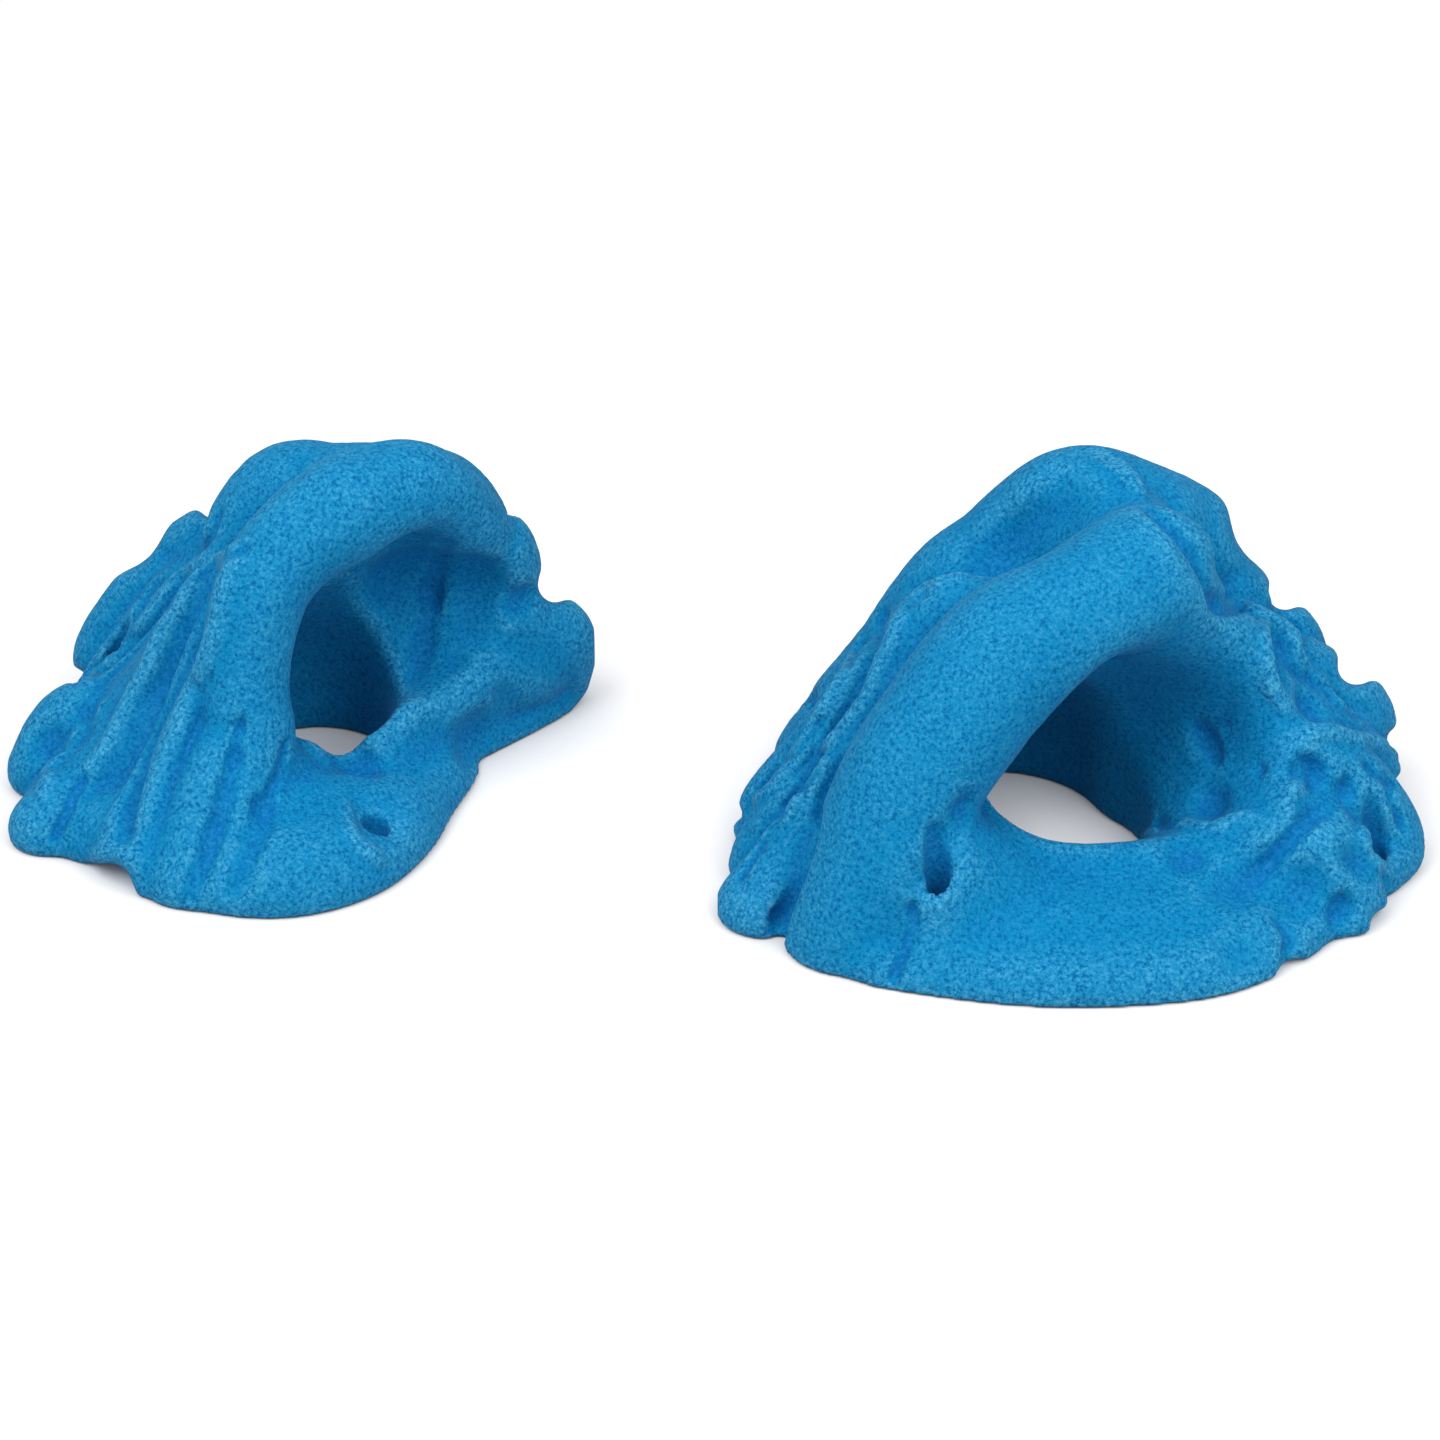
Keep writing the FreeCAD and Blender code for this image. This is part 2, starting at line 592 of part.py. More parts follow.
def make_casting(doc, hold, skin, origin, seats):
    """One casting: its skin, less the screw holes and the washers' recesses."""
    blank = doc.addObject("Part::Feature", f"{hold}_skin")
    blank.Shape = skin
    cutters = []
    for name, seat in seats.items():
        cutters.append(make_cylinder(
            doc, f"{hold}_recess_{name}", seat,
            "sizes.washer_diameter / 2 + sizes.washer_clearance", "sizes.recess_reach",
        ))
        hole = make_cylinder(
            doc, f"{hold}_screw_hole_{name}", seat,
            "sizes.screw_hole_diameter / 2", f"{seat.z} + sizes.cut_overrun + sizes.recess_reach",
        )
        bind(hole, "Placement.Base.z", "-sizes.cut_overrun")
        cutters.append(hole)
    screw_holes = doc.addObject("Part::MultiFuse", f"{hold}_screw_holes")
    screw_holes.Shapes = cutters
    casting = doc.addObject("Part::Cut", f"{hold}_casting")
    casting.Base = blank
    casting.Tool = screw_holes
    casting.Refine = False
    casting.Label = f"{hold}_hold_shell"
    casting.Placement.Base = origin
    return casting


def make_washer(doc, label, place):
    """A flat washer, drawn as two circles and padded to its thickness."""
    body = doc.addObject("PartDesign::Body", label)
    body.Label = label
    sketch = body.newObject("Sketcher::SketchObject", f"{label}_outline")
    plane = next(p for p in body.Origin.OriginFeatures if p.Role == "XY_Plane")
    sketch.AttachmentSupport = (plane, "")
    sketch.MapMode = "FlatFace"
    middle = Vector(0, 0, 0)
    for name, diameter in (("rim", "washer_diameter"), ("bore", "screw_hole_diameter")):
        circle = sketch.addGeometry(Part.Circle(middle, Vector(0, 0, 1), 1), False)
        sketch.addConstraint(Sketcher.Constraint("Coincident", circle, 3, -1, 1))
        radius = sketch.addConstraint(Sketcher.Constraint("Radius", circle, 1))
        sketch.renameConstraint(radius, name)
        bind(sketch, f"Constraints.{name}", f"sizes.{diameter} / 2")
    pad = body.newObject("PartDesign::Pad", f"{label}_pad")
    pad.Profile = sketch
    bind(pad, "Length", "sizes.washer_thickness")
    body.Placement.Base = place
    return body


def check(doc, pieces):
    """Stops if any object failed, or any piece has no valid shape."""
    for item in doc.Objects:
        if {"Invalid", "Error"} & set(item.State):
            raise RuntimeError(f"{item.Name} failed: {item.State}")
    for piece in pieces:
        if piece.Shape.isNull() or not piece.Shape.isValid():
            raise RuntimeError(f"{piece.Label} has no valid shape")


def main():
    doc = FreeCAD.newDocument("climbing_holds")
    sheet = make_sheet(doc)

    def size(name):
        return float(sheet.get(name))

    apart = Vector(size("hold_spacing"), -size("hold_stagger"), 0)
    holds = {
        "large": (LARGE_RIDGE_SHARES, LARGE_HOLLOW_SHARES, LARGE_SCREW_SHARES, apart / 2),
        "small": (SMALL_RIDGE_SHARES, SMALL_HOLLOW_SHARES, SMALL_SCREW_SHARES, apart / -2),
    }
    skins = {}
    whole = FreeCAD.BoundBox()
    for hold, (ridge_shares, hollow_shares, _, place) in holds.items():
        spans = [size(f"{hold}_{name}") for name in ("half_length", "half_width", "height")]
        rib_radius = size(f"{hold}_rib_radius")
        form = Form(
            make_ribs(ridge_shares, *spans, rib_radius), make_ribs(hollow_shares, *spans, rib_radius)
        )
        skins[hold] = casting_skin(Lattice(form, size("facet_size"), *spans))
        whole.add(skins[hold].translated(place).BoundBox)
    middle = Vector(whole.Center.x, whole.Center.y, 0)

    pieces = []
    for hold, (_, _, screw_shares, place) in holds.items():
        spans = [size(f"{hold}_{name}") for name in ("half_length", "half_width", "height")]
        seats = {
            name: Vector(*(share * span for share, span in zip(shares, spans)))
            for name, shares in screw_shares.items()
        }
        pieces.append(make_casting(doc, hold, skins[hold], place - middle, seats))
        for name, seat in seats.items():
            pieces.append(make_washer(doc, f"{hold}_washer_{name}", place - middle + seat))
    doc.recompute()
    check(doc, pieces)
    os.makedirs("parts", exist_ok=True)
    for piece in pieces:
        piece.Shape.exportStep(f"parts/{piece.Label}.step")
        box = piece.Shape.BoundBox
        print(f"{piece.Label}: {box.XLength:.1f} x {box.YLength:.1f} x {box.ZLength:.1f} mm")


main()
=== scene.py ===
"""Two cast climbing holds of one set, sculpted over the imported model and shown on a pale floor.

Each casting is sculpted in a block of distances from the same ribs and hollows as its solid, with
the finer creases, crests, pits and slits that the solid leaves out, and gets the skin of the carved
foam that it was moulded from. The washers are the model's own, with a steel finish. Metres, +Z off
the wall.
"""
import itertools
import math

import bpy
import numpy as np
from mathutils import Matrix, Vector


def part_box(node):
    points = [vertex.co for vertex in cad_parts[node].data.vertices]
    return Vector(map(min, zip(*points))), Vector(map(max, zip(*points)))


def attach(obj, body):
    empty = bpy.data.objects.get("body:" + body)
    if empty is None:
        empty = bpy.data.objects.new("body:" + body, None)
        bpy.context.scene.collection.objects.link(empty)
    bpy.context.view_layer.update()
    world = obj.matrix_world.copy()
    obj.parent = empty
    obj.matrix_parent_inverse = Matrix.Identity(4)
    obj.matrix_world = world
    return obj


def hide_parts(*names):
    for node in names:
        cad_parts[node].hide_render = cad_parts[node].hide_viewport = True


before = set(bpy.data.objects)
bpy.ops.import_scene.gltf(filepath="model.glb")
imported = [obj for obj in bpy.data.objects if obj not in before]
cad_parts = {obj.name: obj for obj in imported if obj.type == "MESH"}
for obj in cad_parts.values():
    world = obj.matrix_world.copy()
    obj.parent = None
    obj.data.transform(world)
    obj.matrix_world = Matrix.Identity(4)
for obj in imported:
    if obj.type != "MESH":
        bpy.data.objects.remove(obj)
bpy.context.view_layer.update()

import openvdb
from bpy.props import FloatProperty, FloatVectorProperty, IntProperty, PointerProperty
from mathutils import Vector

bl_info = {
    "name": "Cast Climbing Holds",
    "version": (1, 0, 0),
    "blender": (4, 5, 0),
    "location": "View3D > Sidebar > Climbing Holds",
    "description": "Sculpts and finishes a set of two cast climbing holds",
    "category": "Object",
}

MM = 0.001
PICTURE_SIDE = 1440
SENSOR_WIDTH = 36.0

# How far a washer's recess is cut above its seat, and over what height the relief fades in
RECESS_REACH = 0.045
EDGE_FADE = 0.006

BLOCK_SHARES = np.array([[-1.15, -1.15, 0.0], [1.15, 1.15, 1.08]])
MARGIN_STEPS = 4
# How far round a chain of balls the block is changed: by so many blends, and a length
BLENDS_AROUND = 1.5
SPACE_AROUND = 0.008
# Rounding of a drilled hole's edge, in steps
DRILL_ROUNDING = 0.6

# A mark's blend as a share of its half width, the spots it has for each spot of its table, how far
# along it is from its ends that it fades in from, and how long a mark of a single spot is
MARK_BLEND_SHARE = 0.5
MARK_STEPS = 3
MARK_TAPER_SHARE = 0.15
DOT_LENGTH = 0.0001
# Steps inward, in pixels of the picture, over which the outline is looked for at a notch, and from
# where to where a notch runs along the line of sight
OUTLINE_SEARCH = range(-60, 90, 2)
NOTCH_REACH = (-0.012, 0.040)
# How far around a point its crests are measured
CREST_SPANS = (0.004, 0.012)

# Crest heights over which painted sheen makes the resin paler on crests, and painted shade makes it
# deeper in creases; and how pale the painted sheen makes a crest
STANDING_CRESTS = (0.03, 0.20)
HOLLOW_CRESTS = (0.0, -0.14)
CREST_SHEEN_PALENESS = 0.20
# Values of the grain that show a speck or a pore, and how much specks show on flats and crests; the
# extra specks on crests add to the painted sheen there
SPECK_GRAIN = (0.53, 0.61)
PORE_GRAIN = (0.47, 0.38)
SPECKS_ON_FLATS = 0.15
SPECKS_ON_CRESTS = 0.60
# Width of a patch in pores, the values over which it counts as a crest, and how much of one
PATCH_PORES = 9
PATCH_GRAIN = (0.35, 0.65)
PATCH_CREST = 0.03
# Height of the painted contact shadow, a dark line along the edge of the flat back
CONTACT_SHADOW_HEIGHT = 0.0008
# How closely the washers' dull patches lie, and their depth
SCUFFS_PER_METRE = 420.0
SCUFF_DEPTH = 0.0001

# Each softbox has its place and side
SOFTBOXES = {"key": ((-0.8, -0.8, 1.7), 1.3), "fill": ((1.0, -0.9, 1.4), 1.2)}
# Nearer than this to what hangs over it, the floor is lifted less for the camera, which paints
# shade on the floor under the holds
FLOOR_LIFT_REACH = 0.06
CLIP_END = 20.0

# Ribs and hollows are chains of balls, filled in between and blended where they meet. Each has its
# blend's width as a share of the rib radius, and its balls: place as shares of half length, half
# width and height from the middle of the back, and radius as a share of the rib radius. All these
# shares are written in hundredths.
HUNDREDTH = 0.01

LARGE_RIDGE_SHARES = {
    "core": (30, [(-7, 12, 6, 304), (0, 22, 31, 215)]),
    "right_bulk": (44, [(21, 0, 5, 237), (46, 6, -1, 185)]),
    "left_skirt": (44, [
        (-34, 4, 31, 133), (-57, -6, 14, 119), (-66, -12, 0, 104), (-50, -34, 0, 89)]),
    "back_left_skirt": (44, [(-34, 25, 28, 133), (-55, 22, 6, 111)]),
    "right_skirt": (44, [(46, 31, 28, 119), (60, 36, 2, 104)]),
    "right_front_skirt": (44, [(55, 0, 19, 104), (69, 6, 0, 100), (70, -22, 0, 100)]),
    "front_arch": (19, [
        (-63, -58, -3, 111), (-58, -55, 16, 100), (-49, -48, 38, 100), (-38, -41, 53, 100),
        (-27, -34, 65, 100), (-17, -28, 71, 100), (-3, -22, 75, 100), (11, -13, 80, 100),
        (19, -8, 82, 96), (23, -5, 73, 93), (28, -1, 61, 89), (33, 2, 49, 89)]),
    "second_arch_ridge": (11, [
        (-23, -9, 69, 59), (-34, -5, 68, 59), (-41, -6, 62, 59), (-48, -17, 49, 59),
        (-62, -28, 31, 59), (-76, -37, 12, 67), (-87, -44, 1, 74)]),
    "left_rib_front": (11, [
        (-39, 6, 61, 56), (-57, -4, 44, 52), (-70, -12, 29, 52), (-83, -20, 11, 52),
        (-88, -23, 3, 48)]),
    "left_rib_back": (11, [
        (-39, 22, 53, 63), (-55, 11, 38, 59), (-69, 6, 24, 56), (-81, 3, 11, 56), (-86, 1, 3, 52)]),
    "back_ridge_left": (15, [
        (21, 31, 78, 89), (3, 32, 82, 100), (-8, 35, 75, 96), (-18, 35, 66, 93),
        (-29, 35, 59, 89), (-37, 35, 50, 85), (-44, 35, 39, 85), (-59, 40, 17, 85),
        (-69, 43, 3, 78)]),
    "summit_spur": (15, [(6, 29, 82, 93), (14, 12, 82, 74), (19, -6, 82, 74)]),
    "back_ridge_right": (15, [
        (6, 32, 82, 96), (30, 40, 71, 93), (40, 46, 57, 89), (48, 49, 41, 89), (55, 58, 21, 89),
        (61, 65, 3, 81)]),
    "funnel_rim": (15, [
        (31, -3, 68, 67), (43, -2, 56, 59), (51, -4, 45, 56), (57, -8, 33, 56), (72, 5, 26, 56)]),
    "right_lobe_back": (11, [
        (43, 35, 55, 74), (55, 42, 44, 70), (64, 46, 36, 67), (70, 51, 16, 67), (72, 52, 3, 67)]),
    "right_lobe_middle": (11, [
        (46, 14, 50, 74), (67, 23, 36, 70), (81, 29, 24, 74), (86, 31, 14, 63), (88, 32, 5, 59)]),
    "right_lobe_side": (11, [(55, 0, 38, 67), (72, 5, 27, 59), (84, 11, 16, 59), (90, 14, 4, 52)]),
    "right_lobe_front": (15, [
        (58, -11, 29, 89), (76, -11, 18, 81), (87, -11, 4, 74), (80, -23, 1, 74)]),
    "right_corner": (15, [(50, -26, 21, 96), (65, -37, 11, 89), (73, -43, 0, 74)]),
    "apron_edge": (22, [
        (-52, -71, -3, 81), (-24, -79, -3, 78), (0, -81, -3, 78), (28, -77, -3, 78),
        (46, -65, -2, 78), (59, -49, 0, 78)]),
    "apron_top": (30, [
        (-39, -49, 12, 100), (-28, -48, 9, 96), (-8, -46, 2, 100), (12, -45, 1, 104),
        (37, -38, 3, 104), (54, -29, 7, 93)]),
    "back_lobe_far_left": (19, [(-34, 46, 31, 104), (-62, 52, 5, 89)]),
    "back_lobe_left": (19, [(-21, 54, 31, 104), (-43, 77, 3, 89)]),
    "back_lobe_middle": (19, [(0, 58, 38, 104), (-11, 85, 1, 81)]),
    "back_lobe_right": (19, [(14, 58, 38, 104), (18, 85, 1, 81)]),
    "back_lobe_far_right": (19, [(28, 54, 38, 96), (41, 75, 3, 89)]),
    "apron_slope": (30, [
        (-43, -60, 5, 100), (-25, -63, 1, 100), (0, -65, -1, 96), (26, -60, -1, 96),
        (46, -49, 0, 89)]),
    "arch_web": (30, [(-36, 12, 46, 89), (-19, 9, 55, 89), (-3, 9, 60, 89), (11, 12, 65, 81)]),
    "leg_fillet": (37, [(-44, -57, 21, 96), (-34, -54, 12, 100)]),
}

LARGE_HOLLOW_SHARES = {
    "floor_opening": (22, [(-19, 8, -16, 170), (-18, 5, 12, 156), (-10, -5, 28, 133)]),
    "pocket_and_mouth": (22, [
        (-6, -9, -12, 141), (0, -12, 19, 130), (10, -25, 39, 133), (23, -55, 53, 167),
        (37, -88, 68, 244)]),
    "funnel": (37, [(18, -20, 34, 111), (33, -35, 44, 130), (46, -73, 66, 222)]),
    "mouth_corner": (19, [(-10, -9, 24, 126), (-5, -28, 34, 107), (7, -28, 38, 122)]),
}

SMALL_RIDGE_SHARES = {
    "core": (40, [(0, 18, 6, 380), (4, 28, 32, 280)]),
    "right_bulk": (40, [(36, 33, 10, 230), (56, 43, 0, 160)]),
    "left_skirt": (40, [(-16, 0, 32, 200), (-48, -20, 8, 185), (-72, -32, -6, 150)]),
    "front_arch": (20, [
        (-19, -67, 4, 150), (-18, -57, 17, 110), (-14, -48, 30, 95), (-14, -42, 45, 88),
        (-8, -33, 68, 90), (3, -24, 79, 95), (18, -15, 85, 105), (32, -4, 86, 105),
        (43, 3, 85, 90), (53, 10, 78, 75), (61, 20, 65, 70)]),
    "back_dome_rib": (15, [
        (18, 22, 73, 110), (-2, 31, 70, 125), (-15, 27, 61, 110), (-24, 17, 49, 85),
        (-34, 10, 39, 80), (-48, 3, 27, 80), (-64, -5, 18, 85), (-77, -7, 14, 95),
        (-87, -12, 3, 90)]),
    "side_rib_front": (12, [
        (-10, -4, 65, 70), (-26, -10, 55, 65), (-40, -17, 40, 65), (-50, -25, 25, 65),
        (-67, -38, 10, 75), (-82, -50, 2, 85)]),
    "side_rib_groove": (12, [
        (-8, -12, 68, 65), (-21, -27, 52, 65), (-30, -40, 35, 70), (-40, -55, 17, 80),
        (-48, -73, 2, 105)]),
    "leg_rib": (15, [(-18, -52, 30, 75), (-24, -65, 17, 90), (-29, -78, 1, 115)]),
    "back_lobe_left": (15, [
        (-16, 43, 57, 90), (-34, 48, 49, 85), (-50, 50, 40, 80), (-62, 48, 28, 80),
        (-72, 45, 15, 80), (-72, 43, 3, 70)]),
    "back_left_skirt": (60, [(-40, 48, 26, 120), (-58, 42, 6, 110)]),
    "back_rib_left": (20, [
        (-32, 33, 45, 100), (-53, 28, 26, 90), (-70, 23, 10, 80), (-75, 22, 1, 75)]),
    "back_ridge_right": (15, [
        (16, 23, 75, 110), (37, 18, 78, 95), (48, 23, 75, 90), (56, 28, 67, 80), (59, 35, 54, 85),
        (61, 42, 34, 100), (64, 47, 6, 100)]),
    "back_fill_right": (25, [(24, 25, 62, 120), (42, 27, 59, 110), (53, 33, 45, 100)]),
    "wing_top_lobe": (15, [
        (51, 18, 67, 75), (62, 25, 62, 70), (69, 28, 55, 70), (70, 35, 36, 75), (72, 43, 10, 90)]),
    "wing_tip_lobe": (20, [(56, 25, 44, 95), (74, 35, 30, 85), (86, 42, 22, 80), (86, 48, 6, 65)]),
    "wing_wall": (30, [(40, 5, 19, 115), (59, 22, 22, 105), (74, 35, 17, 95)]),
    "wing_foot": (20, [(45, 3, -1, 75), (66, 25, 0, 70), (82, 42, 2, 65)]),
    "apron_edge": (30, [
        (-29, -78, 0, 115), (-3, -81, 0, 135), (16, -72, 0, 135), (29, -53, 0, 120),
        (37, -33, 0, 100), (46, -8, 0, 90)]),
    "apron_top": (30, [(-16, -62, 6, 140), (8, -57, 3, 130), (27, -40, 0, 110)]),
    "back_toe_left": (25, [(-19, 58, 26, 130), (-38, 77, 3, 110)]),
    "back_toe_middle": (25, [(8, 58, 29, 130), (2, 82, 2, 110)]),
    "back_toe_right": (25, [(36, 54, 29, 120), (38, 77, 3, 105)]),
    "mouth_sill": (20, [
        (-16, -50, 25, 95), (-6, -47, 14, 95), (10, -48, 2, 95), (24, -42, -1, 95),
        (37, -28, 0, 85)]),
    "left_web": (25, [(-77, -45, 1, 95), (-64, -52, 1, 100), (-53, -58, 4, 100)]),
}

SMALL_HOLLOW_SHARES = {
    "pocket_and_mouth": (30, [
        (2, -3, -13, 175), (4, -5, 19, 165), (12, -12, 35, 160), (22, -20, 48, 145),
        (32, -38, 45, 185), (53, -75, 49, 280)]),
    "wing_hollow": (50, [(27, -18, 50, 135), (40, -14, 63, 100), (54, -27, 67, 110)]),
}

# Notches in the outline: half width and depth in millimetres, and the picture's pixel that each is
# looked for from. Marks finer than the solids' facets: half width and depth in millimetres, which
# is negative where it stands proud, and the pixels that it runs over, seen from an azimuth in
# degrees.

LARGE_NOTCHES = {
    "shoulder_notch": (8.0, 7.0, (1280, 598)),
    "lobe_notch": (9.0, 9.0, (1328, 676)),
    "rim_notch": (5.0, 4.0, (1402, 738)),
    "tip_notch": (6.0, 5.0, (1412, 788)),
    "corner_notch": (6.0, 5.0, (1362, 908)),
    "apron_notch": (6.0, 4.0, (1281, 958)),
    "side_notch": (4.0, 3.0, (728, 816)),
    "back_flat": (14.0, 5.0, (1238, 545)),
}

LARGE_FRONT_MARKS = {
    "leg_slit": (2.0, 5.1, [(911, 906), (914, 922), (909, 940), (903, 956), (893, 978)]),
    "leg_hollow": (8.0, 3.4, [(948, 846), (938, 868), (922, 886)]),
    "leg_dimple": (5.8, 2.7, [(964, 800), (958, 816)]),
    "leg_groove": (5.1, 7.1, [
        (838, 764), (826, 800), (816, 838), (803, 875), (790, 906), (779, 928)]),
    "leg_pit": (4.1, 2.7, [(776, 914)]),
    "side_valley": (5.8, 7.1, [
        (884, 618), (871, 655), (862, 690), (846, 722), (826, 750), (802, 778)]),
    "side_cleft": (2.8, 5.8, [(902, 613), (914, 601), (930, 589)]),
    "side_crest": (3.9, -3.7, [
        (960, 578), (930, 592), (906, 616), (896, 642), (884, 668), (872, 698), (846, 732),
        (818, 762), (786, 796), (760, 828)]),
    "side_crest_thin": (3.0, -3.1, [
        (862, 640), (850, 668), (832, 700), (816, 726), (800, 756), (778, 786), (756, 802)]),
    "side_crest_low": (2.8, -3.1, [(834, 756), (812, 786), (794, 812), (772, 836), (750, 862)]),
    "side_line": (2.5, 3.7, [(818, 770), (796, 796), (776, 824), (758, 850), (742, 880)]),
    "side_line_back": (2.5, 3.7, [(822, 720), (804, 742), (784, 764), (760, 790), (744, 812)]),
    "spur_crest": (3.9, -4.1, [(1098, 452), (1112, 466), (1128, 483), (1138, 500)]),
    "summit_hollow": (12.6, 6.8, [(1066, 496), (1044, 516), (1014, 542), (986, 560)]),
    "shoulder_hollow": (14.9, 5.8, [(1186, 526), (1210, 560), (1228, 590)]),
    "shoulder_cleft": (5.3, 7.8, [
        (1150, 508), (1170, 528), (1190, 554), (1203, 582), (1214, 602), (1240, 606)]),
    "rim_crest": (3.9, -4.4, [
        (1216, 608), (1240, 608), (1262, 620), (1283, 634), (1297, 648), (1311, 668), (1319, 690),
        (1330, 704), (1346, 716), (1370, 724), (1396, 735)]),
    "rim_valley": (3.7, 5.1, [(1270, 612), (1290, 622), (1307, 645), (1322, 670)]),
    "bowl_crest": (3.2, -3.1, [(1262, 624), (1263, 652), (1269, 680), (1280, 702), (1290, 716)]),
    "bowl_crest_short": (2.5, -2.4, [(1290, 640), (1294, 658), (1299, 674)]),
    "flank_hollow": (6.9, 4.1, [(1276, 650), (1284, 680)]),
    "flank_hollow_low": (6.9, 4.4, [(1302, 700), (1312, 716)]),
    "lobe_crest": (3.7, -4.4, [(1308, 734), (1336, 736), (1362, 744), (1390, 746), (1394, 748)]),
    "lobe_cleft": (3.2, 4.4, [(1328, 690), (1341, 706), (1362, 716)]),
    "lobe_pit": (7.4, 7.5, [(1302, 768), (1318, 777)]),
    "lobe_dimple": (5.8, 3.7, [(1345, 788)]),
    "bowl_dimple": (3.2, 4.1, [(1262, 771)]),
    "flank_crest": (3.2, -3.1, [(1290, 758), (1296, 784), (1288, 812)]),
    "flank_dent": (8.0, 5.1, [(1326, 802), (1304, 810)]),
    "long_crease": (4.4, 4.8, [(1242, 888), (1262, 870), (1280, 850), (1295, 834), (1312, 818)]),
    "apron_crest": (3.2, -3.4, [
        (1146, 838), (1166, 830), (1184, 827), (1214, 832), (1238, 822), (1256, 818)]),
    "apron_notch": (4.6, 5.1, [(1160, 823), (1176, 819)]),
    "bowl_pit": (5.3, 5.1, [(1202, 728), (1208, 742), (1216, 756)]),
    "bowl_dent": (7.4, 4.1, [(1211, 798), (1216, 812)]),
    "flank_oval": (6.4, 5.8, [(1372, 822), (1379, 850)]),
    "flank_oval_rim": (3.0, -3.1, [(1362, 816), (1360, 836), (1368, 858), (1386, 872)]),
    "corner_oval": (5.8, 4.8, [(1345, 899), (1336, 918)]),
    "corner_dimple": (8.5, 2.4, [(1300, 880), (1318, 886)]),
    "corner_dent": (7.6, 4.1, [(1348, 856), (1368, 870)]),
    "corner_notch": (4.1, 3.4, [(1276, 922), (1290, 936), (1284, 956)]),
    "apron_dent": (8.7, 3.1, [(1222, 892), (1236, 886)]),
    "apron_dent_left": (8.0, 4.1, [(1182, 846), (1190, 862)]),
    "apron_dent_low": (9.2, 2.0, [(1240, 954)]),
    "tip_crease": (2.5, 4.1, [(1387, 786), (1393, 806), (1402, 828)]),
    "tip_cleft": (3.2, 4.8, [(1364, 764), (1383, 779), (1400, 787)]),
}

LARGE_BACK_MARKS = {
    "fan_slit_left": (2.5, 3.4, [(262, 800), (250, 850), (240, 905)]),
    "fan_slit_right": (2.8, 3.4, [(356, 850), (360, 905), (368, 950)]),
    "arm_hollow_left": (8.0, 3.4, [(200, 700), (185, 740)]),
    "arm_hollow_right": (8.0, 3.4, [(450, 690), (480, 720)]),
    "brow_fold": (3.9, 3.7, [(330, 700), (370, 712), (410, 735)]),
    "right_groove": (3.9, 4.1, [(610, 800), (625, 850), (640, 900)]),
    "left_groove": (3.4, 4.1, [(150, 760), (130, 810), (118, 870)]),
    "lobe_oval": (6.4, 3.7, [(520, 930), (530, 955)]),
}

LARGE_MARKS = {0: LARGE_FRONT_MARKS, 180: LARGE_BACK_MARKS}

SMALL_NOTCHES = {
    "dome_notch": (7.0, 7.0, (214, 513)),
    "lobe_notch": (6.0, 5.0, (80, 680)),
    "foot_notch": (11.0, 12.0, (116, 874)),
    "wing_notch": (6.0, 2.5, (536, 590)),
    "lobe_flat": (13.0, 5.0, (152, 560)),
}

SMALL_FRONT_MARKS = {
    "cave_side": (12.6, 10.2, [(418, 590), (417, 630), (412, 676)]),
    "funnel": (13.8, 4.1, [(450, 570), (448, 620), (442, 672)]),
    "rib_valley": (5.8, 7.6, [
        (208, 610), (200, 636), (186, 668), (165, 708), (150, 742), (138, 775), (129, 808),
        (124, 835)]),
    "front_rib_crest": (4.6, -4.1, [
        (247, 547), (222, 562), (202, 578), (181, 610), (164, 640), (152, 668), (133, 703),
        (117, 735), (100, 762), (82, 787)]),
    "groove_rib_crest": (4.6, -4.1, [
        (240, 556), (227, 585), (220, 622), (210, 660), (196, 692), (184, 718), (172, 750),
        (160, 785), (148, 822)]),
    "side_lobe_crease": (2.8, 4.4, [(84, 776), (75, 792), (66, 815), (54, 838)]),
    "leg_slit": (2.2, 4.1, [(242, 720), (238, 740), (234, 764)]),
    "leg_groove": (4.8, 3.2, [(234, 762), (225, 794), (215, 830), (204, 862), (191, 892)]),
    "apron_slit": (2.3, 4.1, [(283, 744), (279, 766), (270, 790), (262, 816)]),
    "apron_groove": (5.3, 2.5, [(264, 812), (255, 840), (244, 866), (234, 888)]),
    "crown_cleft": (2.8, 5.8, [(196, 577), (212, 565), (228, 555), (246, 546)]),
    "dome_cleft": (3.7, 5.1, [
        (220, 514), (207, 542), (184, 564), (161, 580), (143, 603), (132, 630), (112, 651),
        (92, 668), (78, 682)]),
    "dome_rib_crest": (3.4, -3.1, [
        (214, 556), (190, 572), (172, 590), (158, 612), (138, 634), (112, 664), (88, 684)]),
    "dome_rib_line": (2.3, 1.7, [(176, 600), (160, 622), (142, 646), (120, 668), (98, 690)]),
    "lobe_crest": (3.9, -3.4, [(44, 796), (52, 775), (64, 754), (84, 730), (104, 708)]),
    "lobe_hollow": (8.0, 3.7, [(38, 748), (56, 734)]),
    "lobe_dent": (5.8, 3.1, [(80, 738), (88, 712)]),
    "back_lobe_hollow": (8.0, 3.7, [(200, 540), (170, 560)]),
    "dish": (14.9, 4.8, [(374, 818)]),
    "dish_rim": (3.4, -2.7, [(344, 806), (350, 836), (366, 852), (380, 862)]),
    "cave_hole": (5.1, 10.2, [(431, 594)]),
    "cave_crease": (5.1, 2.7, [(449, 540), (440, 566), (431, 597), (424, 640), (415, 676)]),
    "wing_dimple_low": (6.9, 1.7, [(460, 732), (468, 738)]),
    "wing_dimple_middle": (5.8, 1.4, [(500, 690), (506, 700)]),
    "wing_dimple_high": (5.8, 1.4, [(516, 612), (524, 604)]),
    "wing_dent": (5.1, 1.2, [(456, 664)]),
    "wing_lobe_cleft": (4.6, 1.5, [(538, 590), (522, 594), (506, 606)]),
    "sill_dip": (8.0, 8.5, [(320, 730), (337, 746), (354, 758), (368, 764)]),
}

